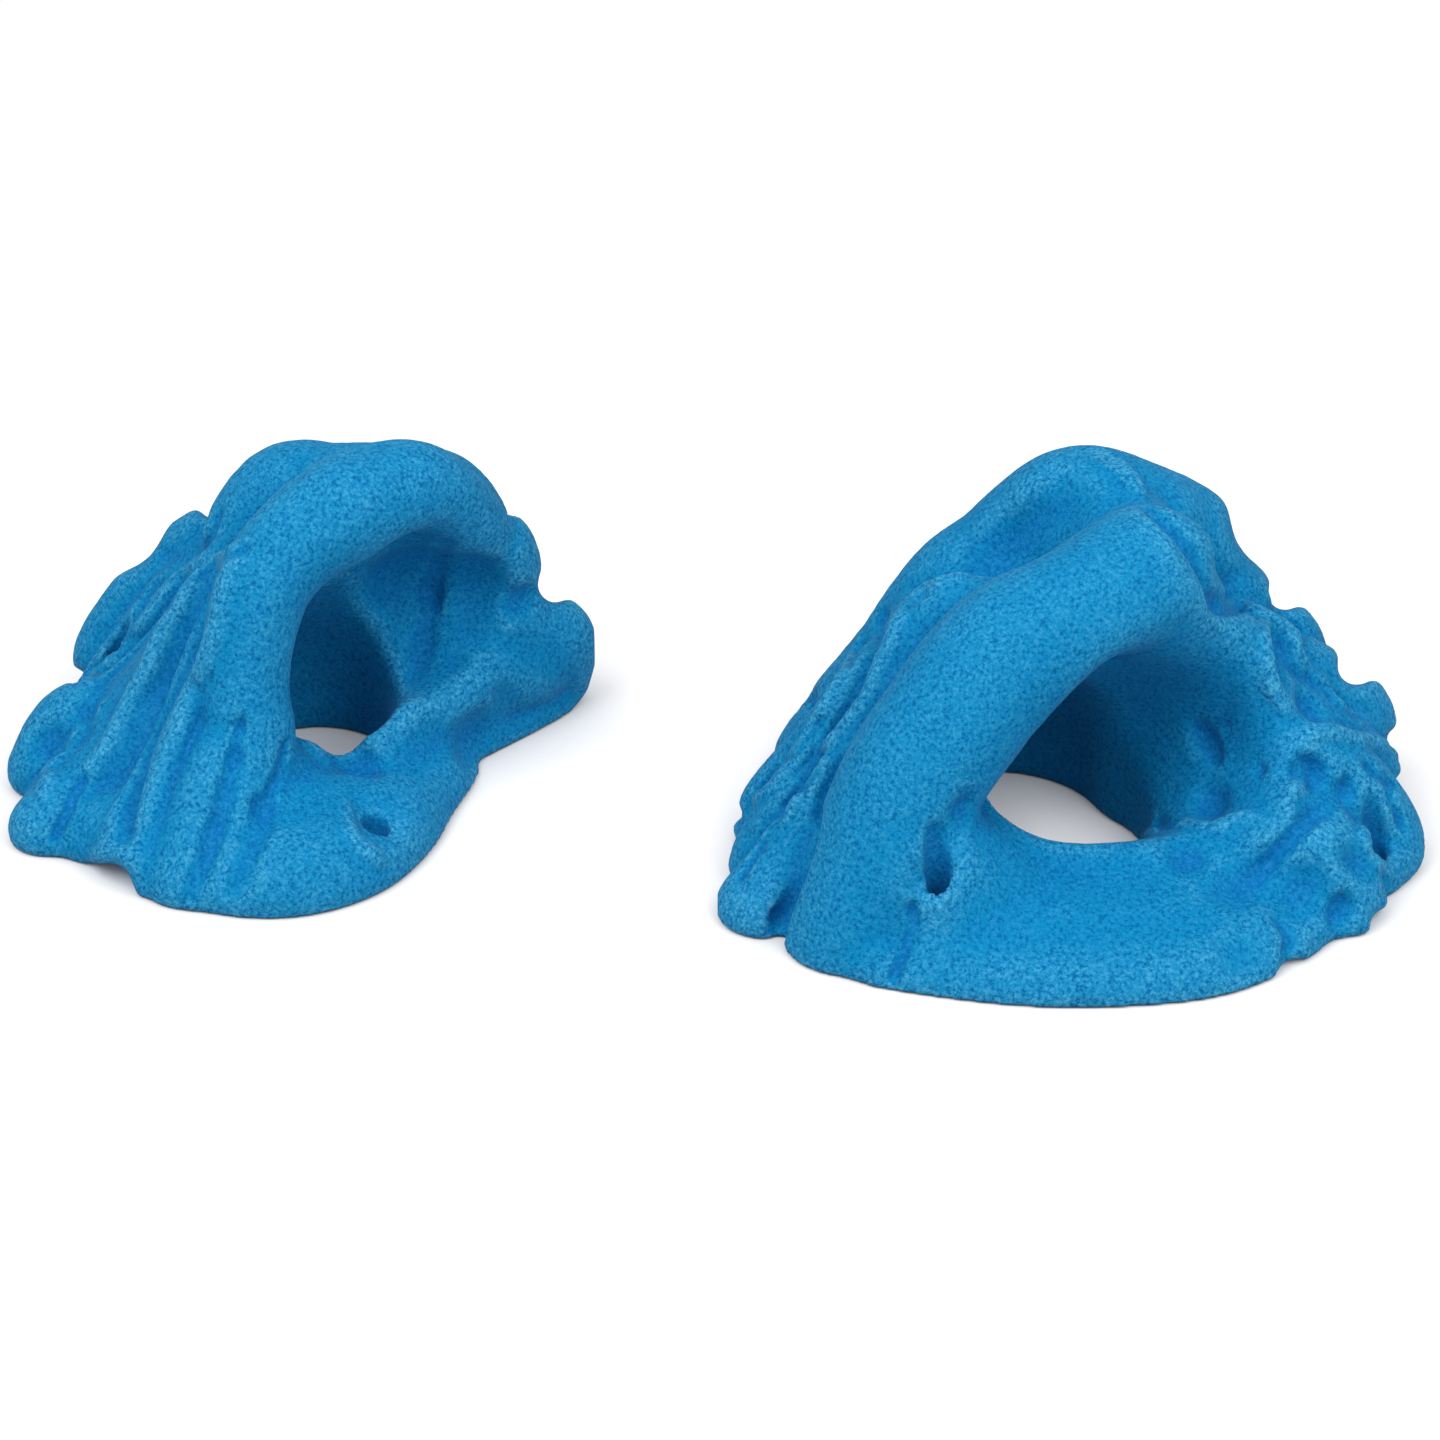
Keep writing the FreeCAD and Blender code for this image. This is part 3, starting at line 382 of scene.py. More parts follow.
SMALL_BACK_MARKS = {
    "brow_fold": (3.7, 3.7, [(1040, 760), (1080, 750), (1130, 760)]),
    "fan_slit_left": (2.5, 3.4, [(1120, 860), (1115, 910), (1110, 960)]),
    "fan_slit_right": (2.5, 3.4, [(1200, 860), (1206, 910), (1214, 960)]),
    "left_groove": (3.4, 3.7, [(960, 740), (950, 800), (945, 860)]),
    "side_oval": (6.4, 3.7, [(905, 930), (915, 950)]),
    "right_groove": (3.4, 3.7, [(1290, 840), (1320, 890), (1350, 940)]),
}

SMALL_MARKS = {0: SMALL_FRONT_MARKS, 180: SMALL_BACK_MARKS}


def length(name, description, default, low=0.0):
    """A setting that holds a length."""
    return FloatProperty(
        name=name, description=description, default=default, min=low, unit="LENGTH")


def colour(name, description, default):
    """A setting that holds a colour."""
    return FloatVectorProperty(
        name=name, description=description, default=(*default, 1.0), size=4, min=0.0, max=1.0,
        subtype="COLOR")


def casting_sizes(half_length, half_width, height, rib_radius, voxel):
    """The settings that one casting is sculpted from, with its own defaults."""
    furthest = "From the middle of the back to the furthest lobe, along"
    return {
        "half_length": length("Half Length", f"{furthest} X", half_length, 0.02),
        "half_width": length("Half Width", f"{furthest} Y", half_width, 0.02),
        "height": length("Height", "From the wall to the summit", height, 0.02),
        "rib_radius": length(
            "Rib Radius", "Radius of the arch, which the other ribs follow", rib_radius, 0.005),
        "voxel": length("Voxel", "Size of a step of the block that is sculpted", voxel, 0.0008),
    }


class LargeSizes(bpy.types.PropertyGroup):
    """What the large casting is sculpted from."""
    __annotations__ = casting_sizes(
        half_length=0.145, half_width=0.130, height=0.160, rib_radius=0.027, voxel=0.00175)


class SmallSizes(bpy.types.PropertyGroup):
    """What the small casting is sculpted from."""
    __annotations__ = casting_sizes(
        half_length=0.125, half_width=0.120, height=0.155, rib_radius=0.020, voxel=0.0015)


class SculptSettings(bpy.types.PropertyGroup):
    """The castings' edges, and the relief of the foam they were moulded from."""
    edge_radius: length("Edge Radius", "Rounding of the edge round the flat back", 0.0015)
    recess_gap: length("Recess Gap", "Gap between a washer and the casting round it", 0.0006)
    swell_depth: length("Swell Depth", "Depth of the slow unevenness of the carved foam", 0.0016)
    swell_span: length("Swell Span", "Width of one swell", 0.034, 0.001)
    grain_depth: length("Grain Depth", "Depth of the foam's coarse grain", 0.0006)
    grain_span: length("Grain Span", "Width of one coarse grain", 0.0052, 0.0005)
    seed: IntProperty(
        name="Seed", description="Which of the possible reliefs is carved", default=7, min=0)


class FinishSettings(bpy.types.PropertyGroup):
    """Colours and pores of the cast resin, and the washers' steel."""
    resin_color: colour("Resin", "The cast resin's blue", (0.000, 0.210, 0.452))
    # Painted shade: a deeper blue laid into the creases, where shade falls
    crease_shade_color: colour("Hollows", "The deeper blue down in the creases", (0.000, 0.165, 0.430))
    # The foam's paler grain specks, and painted sheen on the crests
    speck_and_sheen_color: colour(
        "Specks", "The grains and crests that are tinted paler", (0.085, 0.405, 0.630))
    pore_color: colour("Pores", "The resin down in a pore", (0.000, 0.115, 0.310))
    # Painted contact shadow: a dark line where the flat back meets the wall
    contact_shadow_color: colour(
        "Edge Line", "The dark line where the flat back meets the wall", (0.004, 0.030, 0.070))
    pore_span: length("Pore Span", "Distance between pores", 0.0017, 0.0002)
    pore_depth: length("Pore Depth", "Depth of the pores", 0.0005)
    steel_color: colour("Steel", "The washers' zinc-plated steel", (0.62, 0.63, 0.65))


class StageSettings(bpy.types.PropertyGroup):
    """The floor, the lamps and the camera."""
    floor_color: colour("Floor", "The pale floor", (0.60, 0.60, 0.61))
    floor_lift: FloatProperty(
        name="Floor Lift", description="How much paler the camera sees the floor than it is lit",
        default=0.55, min=0.0)
    floor_size: length("Floor Size", "Side of the square floor", 8.0, 1.0)
    camera_distance: length("Camera Distance", "From the camera to what it looks at", 1.6, 0.2)
    camera_elevation: FloatProperty(
        name="Camera Elevation", description="How far the camera looks down",
        default=math.radians(30), unit="ROTATION")
    camera_target: FloatVectorProperty(
        name="Camera Target", description="What the camera looks at", size=3,
        subtype="TRANSLATION", default=(0.0067, -0.0321, 0.060), unit="LENGTH")
    lens: FloatProperty(
        name="Lens", description="Focal length on a 36 mm sensor", default=97.6, min=10.0)
    key_power: FloatProperty(
        name="Key Lamp", description="Power of the softbox on the left", default=27.0, min=0.0,
        unit="POWER")
    fill_power: FloatProperty(
        name="Fill Lamp", description="Power of the softbox on the right", default=18.0, min=0.0,
        unit="POWER")
    room_strength: FloatProperty(
        name="Room Light", description="Strength of the white room's even light", default=0.40,
        min=0.0)


class HoldsSettings(bpy.types.PropertyGroup):
    """All the settings of the set."""
    large: PointerProperty(
        name="Large Hold", description="Sizes of the large hold", type=LargeSizes)
    small: PointerProperty(
        name="Small Hold", description="Sizes of the small hold", type=SmallSizes)
    sculpt: PointerProperty(
        name="Sculpt", description="How the castings are sculpted", type=SculptSettings)
    finish: PointerProperty(
        name="Finish", description="Colours and pores", type=FinishSettings)
    stage: PointerProperty(
        name="Stage", description="Floor, lamps and camera", type=StageSettings)


def smooth_course(balls, steps=4):
    """A chain of balls with more balls in between, on a smooth course through them all."""
    course = []
    ends = np.vstack([2 * balls[0] - balls[1], balls, 2 * balls[-1] - balls[-2]])
    for before, start, end, after in zip(ends[:-3], ends[1:-2], ends[2:-1], ends[3:]):
        for t in np.arange(steps) / steps:
            course.append(0.5 * (
                2 * start + (end - before) * t
                + (2 * before - 5 * start + 4 * end - after) * t ** 2
                + (3 * start - before - 3 * end + after) * t ** 3))
    return np.array(course + [balls[-1]])


def blended(first, second, blend):
    """The union of two blocks of distances, rounded where they meet over the blend's width."""
    mix = np.clip(0.5 + 0.5 * (second - first) / blend, 0.0, 1.0)
    return second + (first - second) * mix - blend * mix * (1.0 - mix)


class Sculpt:
    """A block of distances from a casting's surface, negative inside, in metres."""

    BLEND_BETWEEN_SPANS = 0.002
    FAR = 0.06

    def __init__(self, sizes):
        self.sizes = np.array([sizes.half_length, sizes.half_width, sizes.height])
        self.rib_radius = sizes.rib_radius
        self.voxel = voxel = sizes.voxel * 1.0
        margin = MARGIN_STEPS * voxel
        self.low, high = BLOCK_SHARES * self.sizes + [[-margin], [margin]]
        counts = np.ceil((high - self.low) / voxel).astype(int) + 1
        self.axes = [self.low[i] + voxel * np.arange(counts[i]) for i in range(3)]
        self.block = np.full(counts, self.FAR, np.float32)

    def window(self, low, high):
        """The part of the block between two corners, and the places of its points."""
        spans = []
        for i in range(3):
            first = math.floor((low[i] - self.low[i]) / self.voxel)
            last = math.ceil((high[i] - self.low[i]) / self.voxel) + 1
            spans.append(slice(max(first, 0), min(max(last, 0), len(self.axes[i]))))
        grids = np.meshgrid(*(self.axes[i][spans[i]] for i in range(3)), indexing="ij")
        return tuple(spans), np.stack(grids, -1).astype(np.float32)

    def chain(self, blend_share, ball_shares, hollow=False):
        """Adds a rib to the block, or cuts a hollow from it."""
        balls = np.array(ball_shares) * HUNDREDTH * [*self.sizes, self.rib_radius]
        blend = blend_share * HUNDREDTH * self.rib_radius
        self.chain_of_balls(blend, smooth_course(balls), hollow)

    def chain_of_balls(self, blend, course, hollow):
        """Joins a chain of balls to the block, or takes it away, blended over a width."""
        course = course.astype(np.float32)
        margin = course[:, 3].max() + BLENDS_AROUND * blend + SPACE_AROUND
        spans, places = self.window(
            course[:, :3].min(0) - margin, course[:, :3].max(0) + margin)
        total = None
        for start, end in zip(course[:-1], course[1:]):
            from_start, along = places - start[:3], end[:3] - start[:3]
            part_way = np.clip(from_start @ along / max(along @ along, 1e-12), 0.0, 1.0)
            gap = np.sqrt(((from_start - part_way[..., None] * along) ** 2).sum(-1))
            gap -= start[3] + part_way * (end[3] - start[3])
            total = gap if total is None else blended(total, gap, self.BLEND_BETWEEN_SPANS)
        if hollow:
            self.block[spans] = -blended(-self.block[spans], total, blend)
        else:
            self.block[spans] = blended(self.block[spans], total, blend)

    def flatten_back(self, edge_radius):
        """Ends the casting at the wall's plane, with a small rounding."""
        depth = np.broadcast_to(self.axes[2].astype(np.float32), self.block.shape)
        self.block = -blended(-self.block, depth, edge_radius)

    def drill(self, centre, radius, low, high):
        """Cuts an upright round hole between two heights."""
        margin = radius + MARGIN_STEPS * self.voxel
        spans, places = self.window(
            np.array([centre[0] - margin, centre[1] - margin, low - margin]),
            np.array([centre[0] + margin, centre[1] + margin, high + margin]))
        across = np.hypot(places[..., 0] - centre[0], places[..., 1] - centre[1]) - radius
        upright = np.abs(places[..., 2] - (low + high) / 2) - (high - low) / 2
        self.block[spans] = -blended(
            -self.block[spans], np.maximum(across, upright), DRILL_ROUNDING * self.voxel)

    def values_at(self, places):
        """The distances at places in the block, and the outside's distance beyond it."""
        steps = (places - self.low) / self.voxel
        first = np.floor(steps).astype(int)
        within = ((first >= 0) & (first < np.array(self.block.shape) - 1)).all(-1)
        first = np.clip(first, 0, np.array(self.block.shape) - 2)
        past = np.clip(steps - first, 0.0, 1.0)
        total = 0.0
        for corner in itertools.product((0, 1), repeat=3):
            share = np.prod(np.where(corner, past, 1.0 - past), -1)
            total = total + share * self.block[tuple((first + corner).T)]
        return np.where(within, total, self.FAR)

    def first_meeting(self, start, direction):
        """Where a line of sight first meets the surface and its outward normal, or None."""
        nearest = -start @ direction
        reach = np.linalg.norm(self.sizes) + self.FAR
        ways = np.arange(nearest - reach, nearest + reach, self.voxel / 2)
        spots = start + ways[:, None] * direction
        inside = self.values_at(spots) < 0
        if not inside.any():
            return None
        spot = spots[inside.argmax()]
        steps = 2 * self.voxel * np.eye(3)
        slope = self.values_at(spot + steps) - self.values_at(spot - steps)
        return spot, slope / np.linalg.norm(slope)

    def mark(self, name, half_width, depth, sights):
        """Cuts a groove or dent along the spots that lines of sight meet, or raises a crest."""
        amount = abs(depth)
        radius = (half_width ** 2 + amount ** 2) / (2 * amount)
        met = [meeting for sight in sights if (meeting := self.first_meeting(*sight))]
        if not met:
            raise RuntimeError(f"all lines of sight of the mark {name} miss the casting")
        balls = []
        for n, (spot, normal) in enumerate(met):
            part_way = n / max(len(met) - 1, 1)
            part_way = MARK_TAPER_SHARE + (1 - 2 * MARK_TAPER_SHARE) * part_way
            fullness = math.sin(math.pi * part_way) if len(met) > 2 else 1.0
            lift = math.copysign(radius - amount * fullness, depth)
            balls.append([*(spot + normal * lift), radius])
        if len(balls) == 1:
            balls.append([*(balls[0][:3] + np.array([DOT_LENGTH, 0, 0])), radius])
        self.chain_of_balls(half_width * MARK_BLEND_SHARE, np.array(balls), depth > 0)

    def notch(self, half_width, depth, sights):
        """Cuts a notch into the outline, at the first line of sight that meets the casting."""
        sight = next(sight for sight in sights if self.first_meeting(*sight))
        spot, normal = self.first_meeting(*sight)
        sideways = normal - (normal @ sight[1]) * sight[1]
        radius = (half_width ** 2 + depth ** 2) / (2 * depth)
        middle = spot + sideways / np.linalg.norm(sideways) * (radius - depth)
        ends = [middle + sight[1] * reach for reach in NOTCH_REACH]
        balls = np.array([[*end, radius] for end in ends])
        self.chain_of_balls(half_width * MARK_BLEND_SHARE, balls, hollow=True)

    def crest_height(self, points):
        """How far points stand out over what lies around them, in shares of how far that is.

        Places behind the wall are read from as far before it.
        """
        total = 0.0
        for span in CREST_SPANS:
            around = []
            for axis, side in itertools.product(np.eye(3), (-1, 1)):
                places = points + side * span * axis
                places[:, 2] = np.abs(places[:, 2])
                around.append(self.values_at(places))
            total = total + (sum(around) / len(around) - self.values_at(points)) / span
        return total / len(CREST_SPANS)

    def surface(self):
        """The casting's skin, as points and quads that face outwards."""
        grid = openvdb.FloatGrid(self.FAR)
        grid.copyFromArray(np.ascontiguousarray(self.block), tolerance=0.0)
        points, quads = grid.convertToQuads(isovalue=0.0)
        return points * self.voxel + self.low, quads[:, ::-1]


def make_mesh(name, points, quads):
    """A smooth-shaded mesh of quads."""
    mesh = bpy.data.meshes.new(name)
    mesh.vertices.add(len(points))
    mesh.vertices.foreach_set("co", points.astype(np.float32).ravel())
    mesh.loops.add(quads.size)
    mesh.loops.foreach_set("vertex_index", quads.astype(np.int32).ravel())
    mesh.polygons.add(len(quads))
    mesh.polygons.foreach_set("loop_start", np.arange(0, quads.size, 4, dtype=np.int32))
    mesh.polygons.foreach_set("use_smooth", np.ones(len(quads), bool))
    mesh.update()
    mesh.validate()
    return mesh


def add_node(tree, kind, **values):
    """A node of a tree, with its inputs linked to sockets or set to values."""
    node = tree.nodes.new(kind)
    inputs = values.pop("inputs", {})
    for name, value in values.items():
        setattr(node, name, value)
    for name, value in inputs.items():
        socket = node.inputs[name]
        if isinstance(value, bpy.types.NodeSocket):
            tree.links.new(value, socket)
        else:
            socket.default_value = value
    return node


def calculate(tree, operation, first, second):
    """The outcome of a sum, product or the like of sockets or values."""
    node = add_node(tree, "ShaderNodeMath", operation=operation, inputs={0: first, 1: second})
    return node.outputs[0]


def ramp(tree, value, span, target=(0.0, 1.0)):
    """A value brought from one span to another, and held at its ends."""
    return add_node(tree, "ShaderNodeMapRange", inputs={
        "Value": value, "From Min": span[0], "From Max": span[1], "To Min": target[0],
        "To Max": target[1]}).outputs[0]


def foam_relief_tree(material):
    """Geometry nodes that carve the relief of foam into a casting, fading out at the wall."""
    tree = bpy.data.node_groups.new("foam_relief", "GeometryNodeTree")
    sockets = tree.interface
    sockets.new_socket("Geometry", in_out="INPUT", socket_type="NodeSocketGeometry")
    for name in ("Swell Depth", "Swell Span", "Grain Depth", "Grain Span", "Edge Fade"):
        socket = sockets.new_socket(name, in_out="INPUT", socket_type="NodeSocketFloat")
        socket.subtype = "DISTANCE"
    sockets.new_socket("Seed", in_out="INPUT", socket_type="NodeSocketInt")
    sockets.new_socket("Geometry", in_out="OUTPUT", socket_type="NodeSocketGeometry")
    group_in = add_node(tree, "NodeGroupInput")
    given = {socket.name: socket for socket in group_in.outputs}
    position = add_node(tree, "GeometryNodeInputPosition").outputs[0]
    normal = add_node(tree, "GeometryNodeInputNormal").outputs[0]
    carved = None
    for layer, (depth, span) in enumerate(
            (("Swell Depth", "Swell Span"), ("Grain Depth", "Grain Span"))):
        noise = add_node(tree, "ShaderNodeTexNoise", noise_dimensions="4D", inputs={
            "Vector": position,
            "W": calculate(tree, "ADD", given["Seed"], float(layer)),
            "Scale": calculate(tree, "DIVIDE", 1.0, given[span]),
            "Detail": 2.0,
            "Roughness": 0.55,
        })
        depth_here = calculate(tree, "MULTIPLY", noise.outputs[0], given[depth])
        carved = calculate(tree, "ADD", carved, depth_here) if carved else depth_here
    height = add_node(tree, "ShaderNodeSeparateXYZ", inputs={0: position}).outputs["Z"]
    fade = ramp(tree, height, (0.0, given["Edge Fade"]))
    inward = calculate(tree, "MULTIPLY", calculate(tree, "MULTIPLY", carved, fade), -1.0)
    offset = add_node(
        tree, "ShaderNodeVectorMath", operation="SCALE",
        inputs={0: normal, "Scale": inward}).outputs[0]
    moved = add_node(tree, "GeometryNodeSetPosition", inputs={
        "Geometry": given["Geometry"], "Offset": offset}).outputs[0]
    real = add_node(tree, "GeometryNodeRealizeInstances", inputs={0: moved}).outputs[0]
    finished = add_node(tree, "GeometryNodeSetMaterial", inputs={
        "Geometry": real, "Material": material}).outputs[0]
    add_node(tree, "NodeGroupOutput", inputs={"Geometry": finished})
    return tree


def carve_relief(piece, tree, values):
    """Runs the relief over a piece and keeps the result as its plain mesh."""
    modifier = piece.modifiers.new("foam_relief", "NODES")
    modifier.node_group = tree
    identifiers = {
        socket.name: socket.identifier for socket in tree.interface.items_tree
        if socket.in_out == "INPUT"}
    for name, value in values.items():
        modifier[identifiers[name]] = value
    evaluated = piece.evaluated_get(bpy.context.evaluated_depsgraph_get())
    carved = bpy.data.meshes.new_from_object(evaluated)
    piece.modifiers.clear()
    rough = piece.data
    piece.data = carved
    bpy.data.meshes.remove(rough)
    carved.name = piece.name


def sight_line(stage, azimuth, spot):
    """Where the camera stands at an azimuth round its target, and its direction to a pixel."""
    rise = stage.camera_elevation
    ahead = np.array([
        math.sin(azimuth) * math.cos(rise), math.cos(azimuth) * math.cos(rise), -math.sin(rise)])
    right = np.cross(ahead, [0, 0, 1])
    right /= np.linalg.norm(right)
    up = np.cross(right, ahead)
    across, down = (np.array(spot) / PICTURE_SIDE - 0.5) * SENSOR_WIDTH / stage.lens
    direction = ahead + across * right - down * up
    start = np.array(stage.camera_target) - ahead * stage.camera_distance
    return start, direction / np.linalg.norm(direction)


def fit_to_box(points, box, new_box):
    """Points moved from one box to another, each axis by itself."""
    (low, high), (new_low, new_high) = box, new_box
    return new_low + (points - low) * (new_high - new_low) / (high - low)


def sculpt_casting(context, hold, ridges, hollows, marks, notches, screw_names):
    """Sculpts one casting into the box of its solid, and stands it in for the solid."""
    settings = context.scene.climbing_holds
    sizes, carving = getattr(settings, hold), settings.sculpt
    node = f"{hold}_hold_shell"
    solid_box = [np.array(corner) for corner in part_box(node)]
    sculpt = Sculpt(sizes)
    for blend_share, ball_shares in ridges.values():
        sculpt.chain(blend_share, ball_shares)
    for blend_share, ball_shares in hollows.values():
        sculpt.chain(blend_share, ball_shares, hollow=True)
    sculpt.flatten_back(carving.edge_radius)
    points, _ = sculpt.surface()
    own_box = [points.min(0), points.max(0)]

    def sight(azimuth, spot):
        start, direction = sight_line(settings.stage, math.radians(azimuth), spot)
        end = fit_to_box(start + direction, solid_box, own_box)
        start = fit_to_box(start, solid_box, own_box)
        return start, (end - start) / np.linalg.norm(end - start)

    middle = np.mean([spot for _, _, spots in marks[0].values() for spot in spots], 0)
    for half_width, depth, spot in notches.values():
        inward = (middle - spot) / np.linalg.norm(middle - spot)
        sculpt.notch(half_width * MM, depth * MM, [
            sight(0, spot + inward * step) for step in OUTLINE_SEARCH])
    for azimuth, spots_by_mark in marks.items():
        for name, (half_width, depth, spots) in spots_by_mark.items():
            if len(spots) > 1:
                spots = smooth_course(np.array(spots), MARK_STEPS)
            sculpt.mark(
                name, half_width * MM, depth * MM, [sight(azimuth, spot) for spot in spots])
    for name in screw_names:
        low, high = (np.array(corner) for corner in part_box(f"{hold}_washer_{name}"))
        centre = fit_to_box((low + high) / 2, solid_box, own_box)
        seat = fit_to_box(low, solid_box, own_box)[2]
        radius = (high[0] - low[0]) / 2
        sculpt.drill(centre, radius + carving.recess_gap, seat, seat + RECESS_REACH)
        sculpt.drill(centre, radius / 2, -RECESS_REACH, seat + sculpt.voxel)
    points, quads = sculpt.surface()
    piece = bpy.data.objects.new(f"{hold}_hold", make_mesh(f"{hold}_hold", points, quads))
    context.scene.collection.objects.link(piece)
    resin = cast_resin_material(settings.finish)
    piece.data.materials.append(resin)
    carve_relief(piece, foam_relief_tree(resin), {
        "Swell Depth": carving.swell_depth, "Swell Span": carving.swell_span,
        "Grain Depth": carving.grain_depth, "Grain Span": carving.grain_span,
        "Edge Fade": EDGE_FADE, "Seed": carving.seed})
    mesh = piece.data
    places = np.empty(3 * len(mesh.vertices), np.float32)
    mesh.vertices.foreach_get("co", places)
    places = places.reshape(-1, 3)
    crest = mesh.attributes.new("crest", "FLOAT", "POINT")
    crest.data.foreach_set("value", sculpt.crest_height(places).astype(np.float32))
    places = fit_to_box(places, own_box, solid_box)
    places = np.clip(places, *solid_box)
    mesh.vertices.foreach_set("co", places.astype(np.float32).ravel())
    mesh.update()
    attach(piece, "root")
    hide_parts(node)


def cast_resin_material(finish):
    """Blue resin with the grain of the foam it was moulded from, with painted sheen paler on its
    crests, painted shade deeper in its creases and a painted contact shadow along the edge of its
    back.
    """
    material = bpy.data.materials.get("cast_resin_blue")
    if material:
        return material
    material = bpy.data.materials.new("cast_resin_blue")
    material.use_nodes = True
    tree = material.node_tree
    shader = tree.nodes["Principled BSDF"]
    place = add_node(tree, "ShaderNodeTexCoord").outputs["Object"]
    crest = add_node(tree, "ShaderNodeAttribute", attribute_name="crest").outputs["Fac"]

    def noise(span, roughness):
        return add_node(tree, "ShaderNodeTexNoise", inputs={
            "Vector": place, "Scale": 1 / span, "Detail": 3.0, "Roughness": roughness}).outputs[0]

    def mixed(factor, first, second):
        node = add_node(tree, "ShaderNodeMix", data_type="RGBA")
        for socket, value in zip((node.inputs[i] for i in (0, 6, 7)), (factor, first, second)):
            if isinstance(value, bpy.types.NodeSocket):
                tree.links.new(value, socket)
            else:
                socket.default_value = value
        return node.outputs[2]

    grain = noise(finish.pore_span, 0.72)
    patches = noise(PATCH_PORES * finish.pore_span, 0.6)
    patched = calculate(tree, "ADD", crest, ramp(tree, patches, PATCH_GRAIN, (0.0, PATCH_CREST)))
    standing = ramp(tree, patched, STANDING_CRESTS)
    # Painted sheen: crests made paler, the more the further they stand out
    pale = calculate(tree, "MULTIPLY", standing, CREST_SHEEN_PALENESS)
    speckled = calculate(tree, "MULTIPLY", standing, SPECKS_ON_CRESTS)
    speckled = calculate(tree, "MULTIPLY", ramp(tree, grain, SPECK_GRAIN), calculate(
        tree, "ADD", speckled, SPECKS_ON_FLATS))
    height = add_node(tree, "ShaderNodeSeparateXYZ", inputs={0: place}).outputs["Z"]
    result = finish.resin_color
    # Layers: painted shade in the creases, painted sheen on the crests, the grain's pores, the
    # grain's specks (more on crests, adding to the painted sheen), and a painted contact shadow at
    # the base
    for factor, layer in (
        (ramp(tree, crest, HOLLOW_CRESTS), finish.crease_shade_color),
        (pale, finish.speck_and_sheen_color),
        (ramp(tree, grain, PORE_GRAIN), finish.pore_color),
        (speckled, finish.speck_and_sheen_color),
        (ramp(tree, height, (2 * CONTACT_SHADOW_HEIGHT, CONTACT_SHADOW_HEIGHT / 2)), finish.contact_shadow_color),
    ):
        result = mixed(factor, result, layer)
    tree.links.new(result, shader.inputs["Base Color"])
    tree.links.new(ramp(tree, patches, (0.0, 1.0), (0.6, 0.9)), shader.inputs["Roughness"])
    shader.inputs["Specular IOR Level"].default_value = 0.08
    shader.inputs["Sheen Weight"].default_value = 0.03
    shader.inputs["Sheen Roughness"].default_value = 0.4
    bump = add_node(tree, "ShaderNodeBump", inputs={
        "Height": grain, "Strength": 1.0, "Distance": finish.pore_depth})
    tree.links.new(bump.outputs[0], shader.inputs["Normal"])
    return material


def washer_steel_material(finish):
    """Zinc-plated steel with a few dull patches."""
    material = bpy.data.materials.new("washer_steel")
    material.use_nodes = True
    tree = material.node_tree
    shader = tree.nodes["Principled BSDF"]
    shader.inputs["Metallic"].default_value = 1.0
    place = add_node(tree, "ShaderNodeTexCoord").outputs["Object"]
    patches = add_node(tree, "ShaderNodeTexNoise", inputs={
        "Vector": place, "Scale": SCUFFS_PER_METRE, "Detail": 4.0, "Roughness": 0.6}).outputs[0]
    tone = add_node(tree, "ShaderNodeVectorMath", operation="SCALE", inputs={
        0: finish.steel_color[:3], "Scale": ramp(tree, patches, (0.0, 1.0), (0.80, 1.08))})
    tree.links.new(tone.outputs[0], shader.inputs["Base Color"])
    tree.links.new(ramp(tree, patches, (0.0, 1.0), (0.24, 0.46)), shader.inputs["Roughness"])
    bump = add_node(tree, "ShaderNodeBump", inputs={
        "Height": patches, "Strength": 0.2, "Distance": SCUFF_DEPTH})
    tree.links.new(bump.outputs[0], shader.inputs["Normal"])
    return material


class OBJECT_OT_large_hold(bpy.types.Operator):
    """Sculpts the large hold: its arch, funnel, apron, ridges and lobes."""
    bl_idname = "climbing_holds.large_hold"
    bl_label = "Large Hold"

    def execute(self, context):
        sculpt_casting(
            context, "large", LARGE_RIDGE_SHARES, LARGE_HOLLOW_SHARES, LARGE_MARKS, LARGE_NOTCHES,
            ("leg", "flank", "back_left", "back_right"))
        return {"FINISHED"}


class OBJECT_OT_small_hold(bpy.types.Operator):
    """Sculpts the small hold: its arch, wing, dome, ridges and lobes."""
    bl_idname = "climbing_holds.small_hold"
    bl_label = "Small Hold"

    def execute(self, context):
        sculpt_casting(
            context, "small", SMALL_RIDGE_SHARES, SMALL_HOLLOW_SHARES, SMALL_MARKS, SMALL_NOTCHES,
            ("dish", "side_lobe", "back_left", "back_right"))
        return {"FINISHED"}


class OBJECT_OT_washers(bpy.types.Operator):
    """Gives the washers in the screw recesses their steel finish."""
    bl_idname = "climbing_holds.washers"
    bl_label = "Washers"

    def execute(self, context):
        steel = washer_steel_material(context.scene.climbing_holds.finish)
        for name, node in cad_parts.items():
            if "_washer_" in name:
                node.data.materials.clear()
                node.data.materials.append(steel)
        return {"FINISHED"}


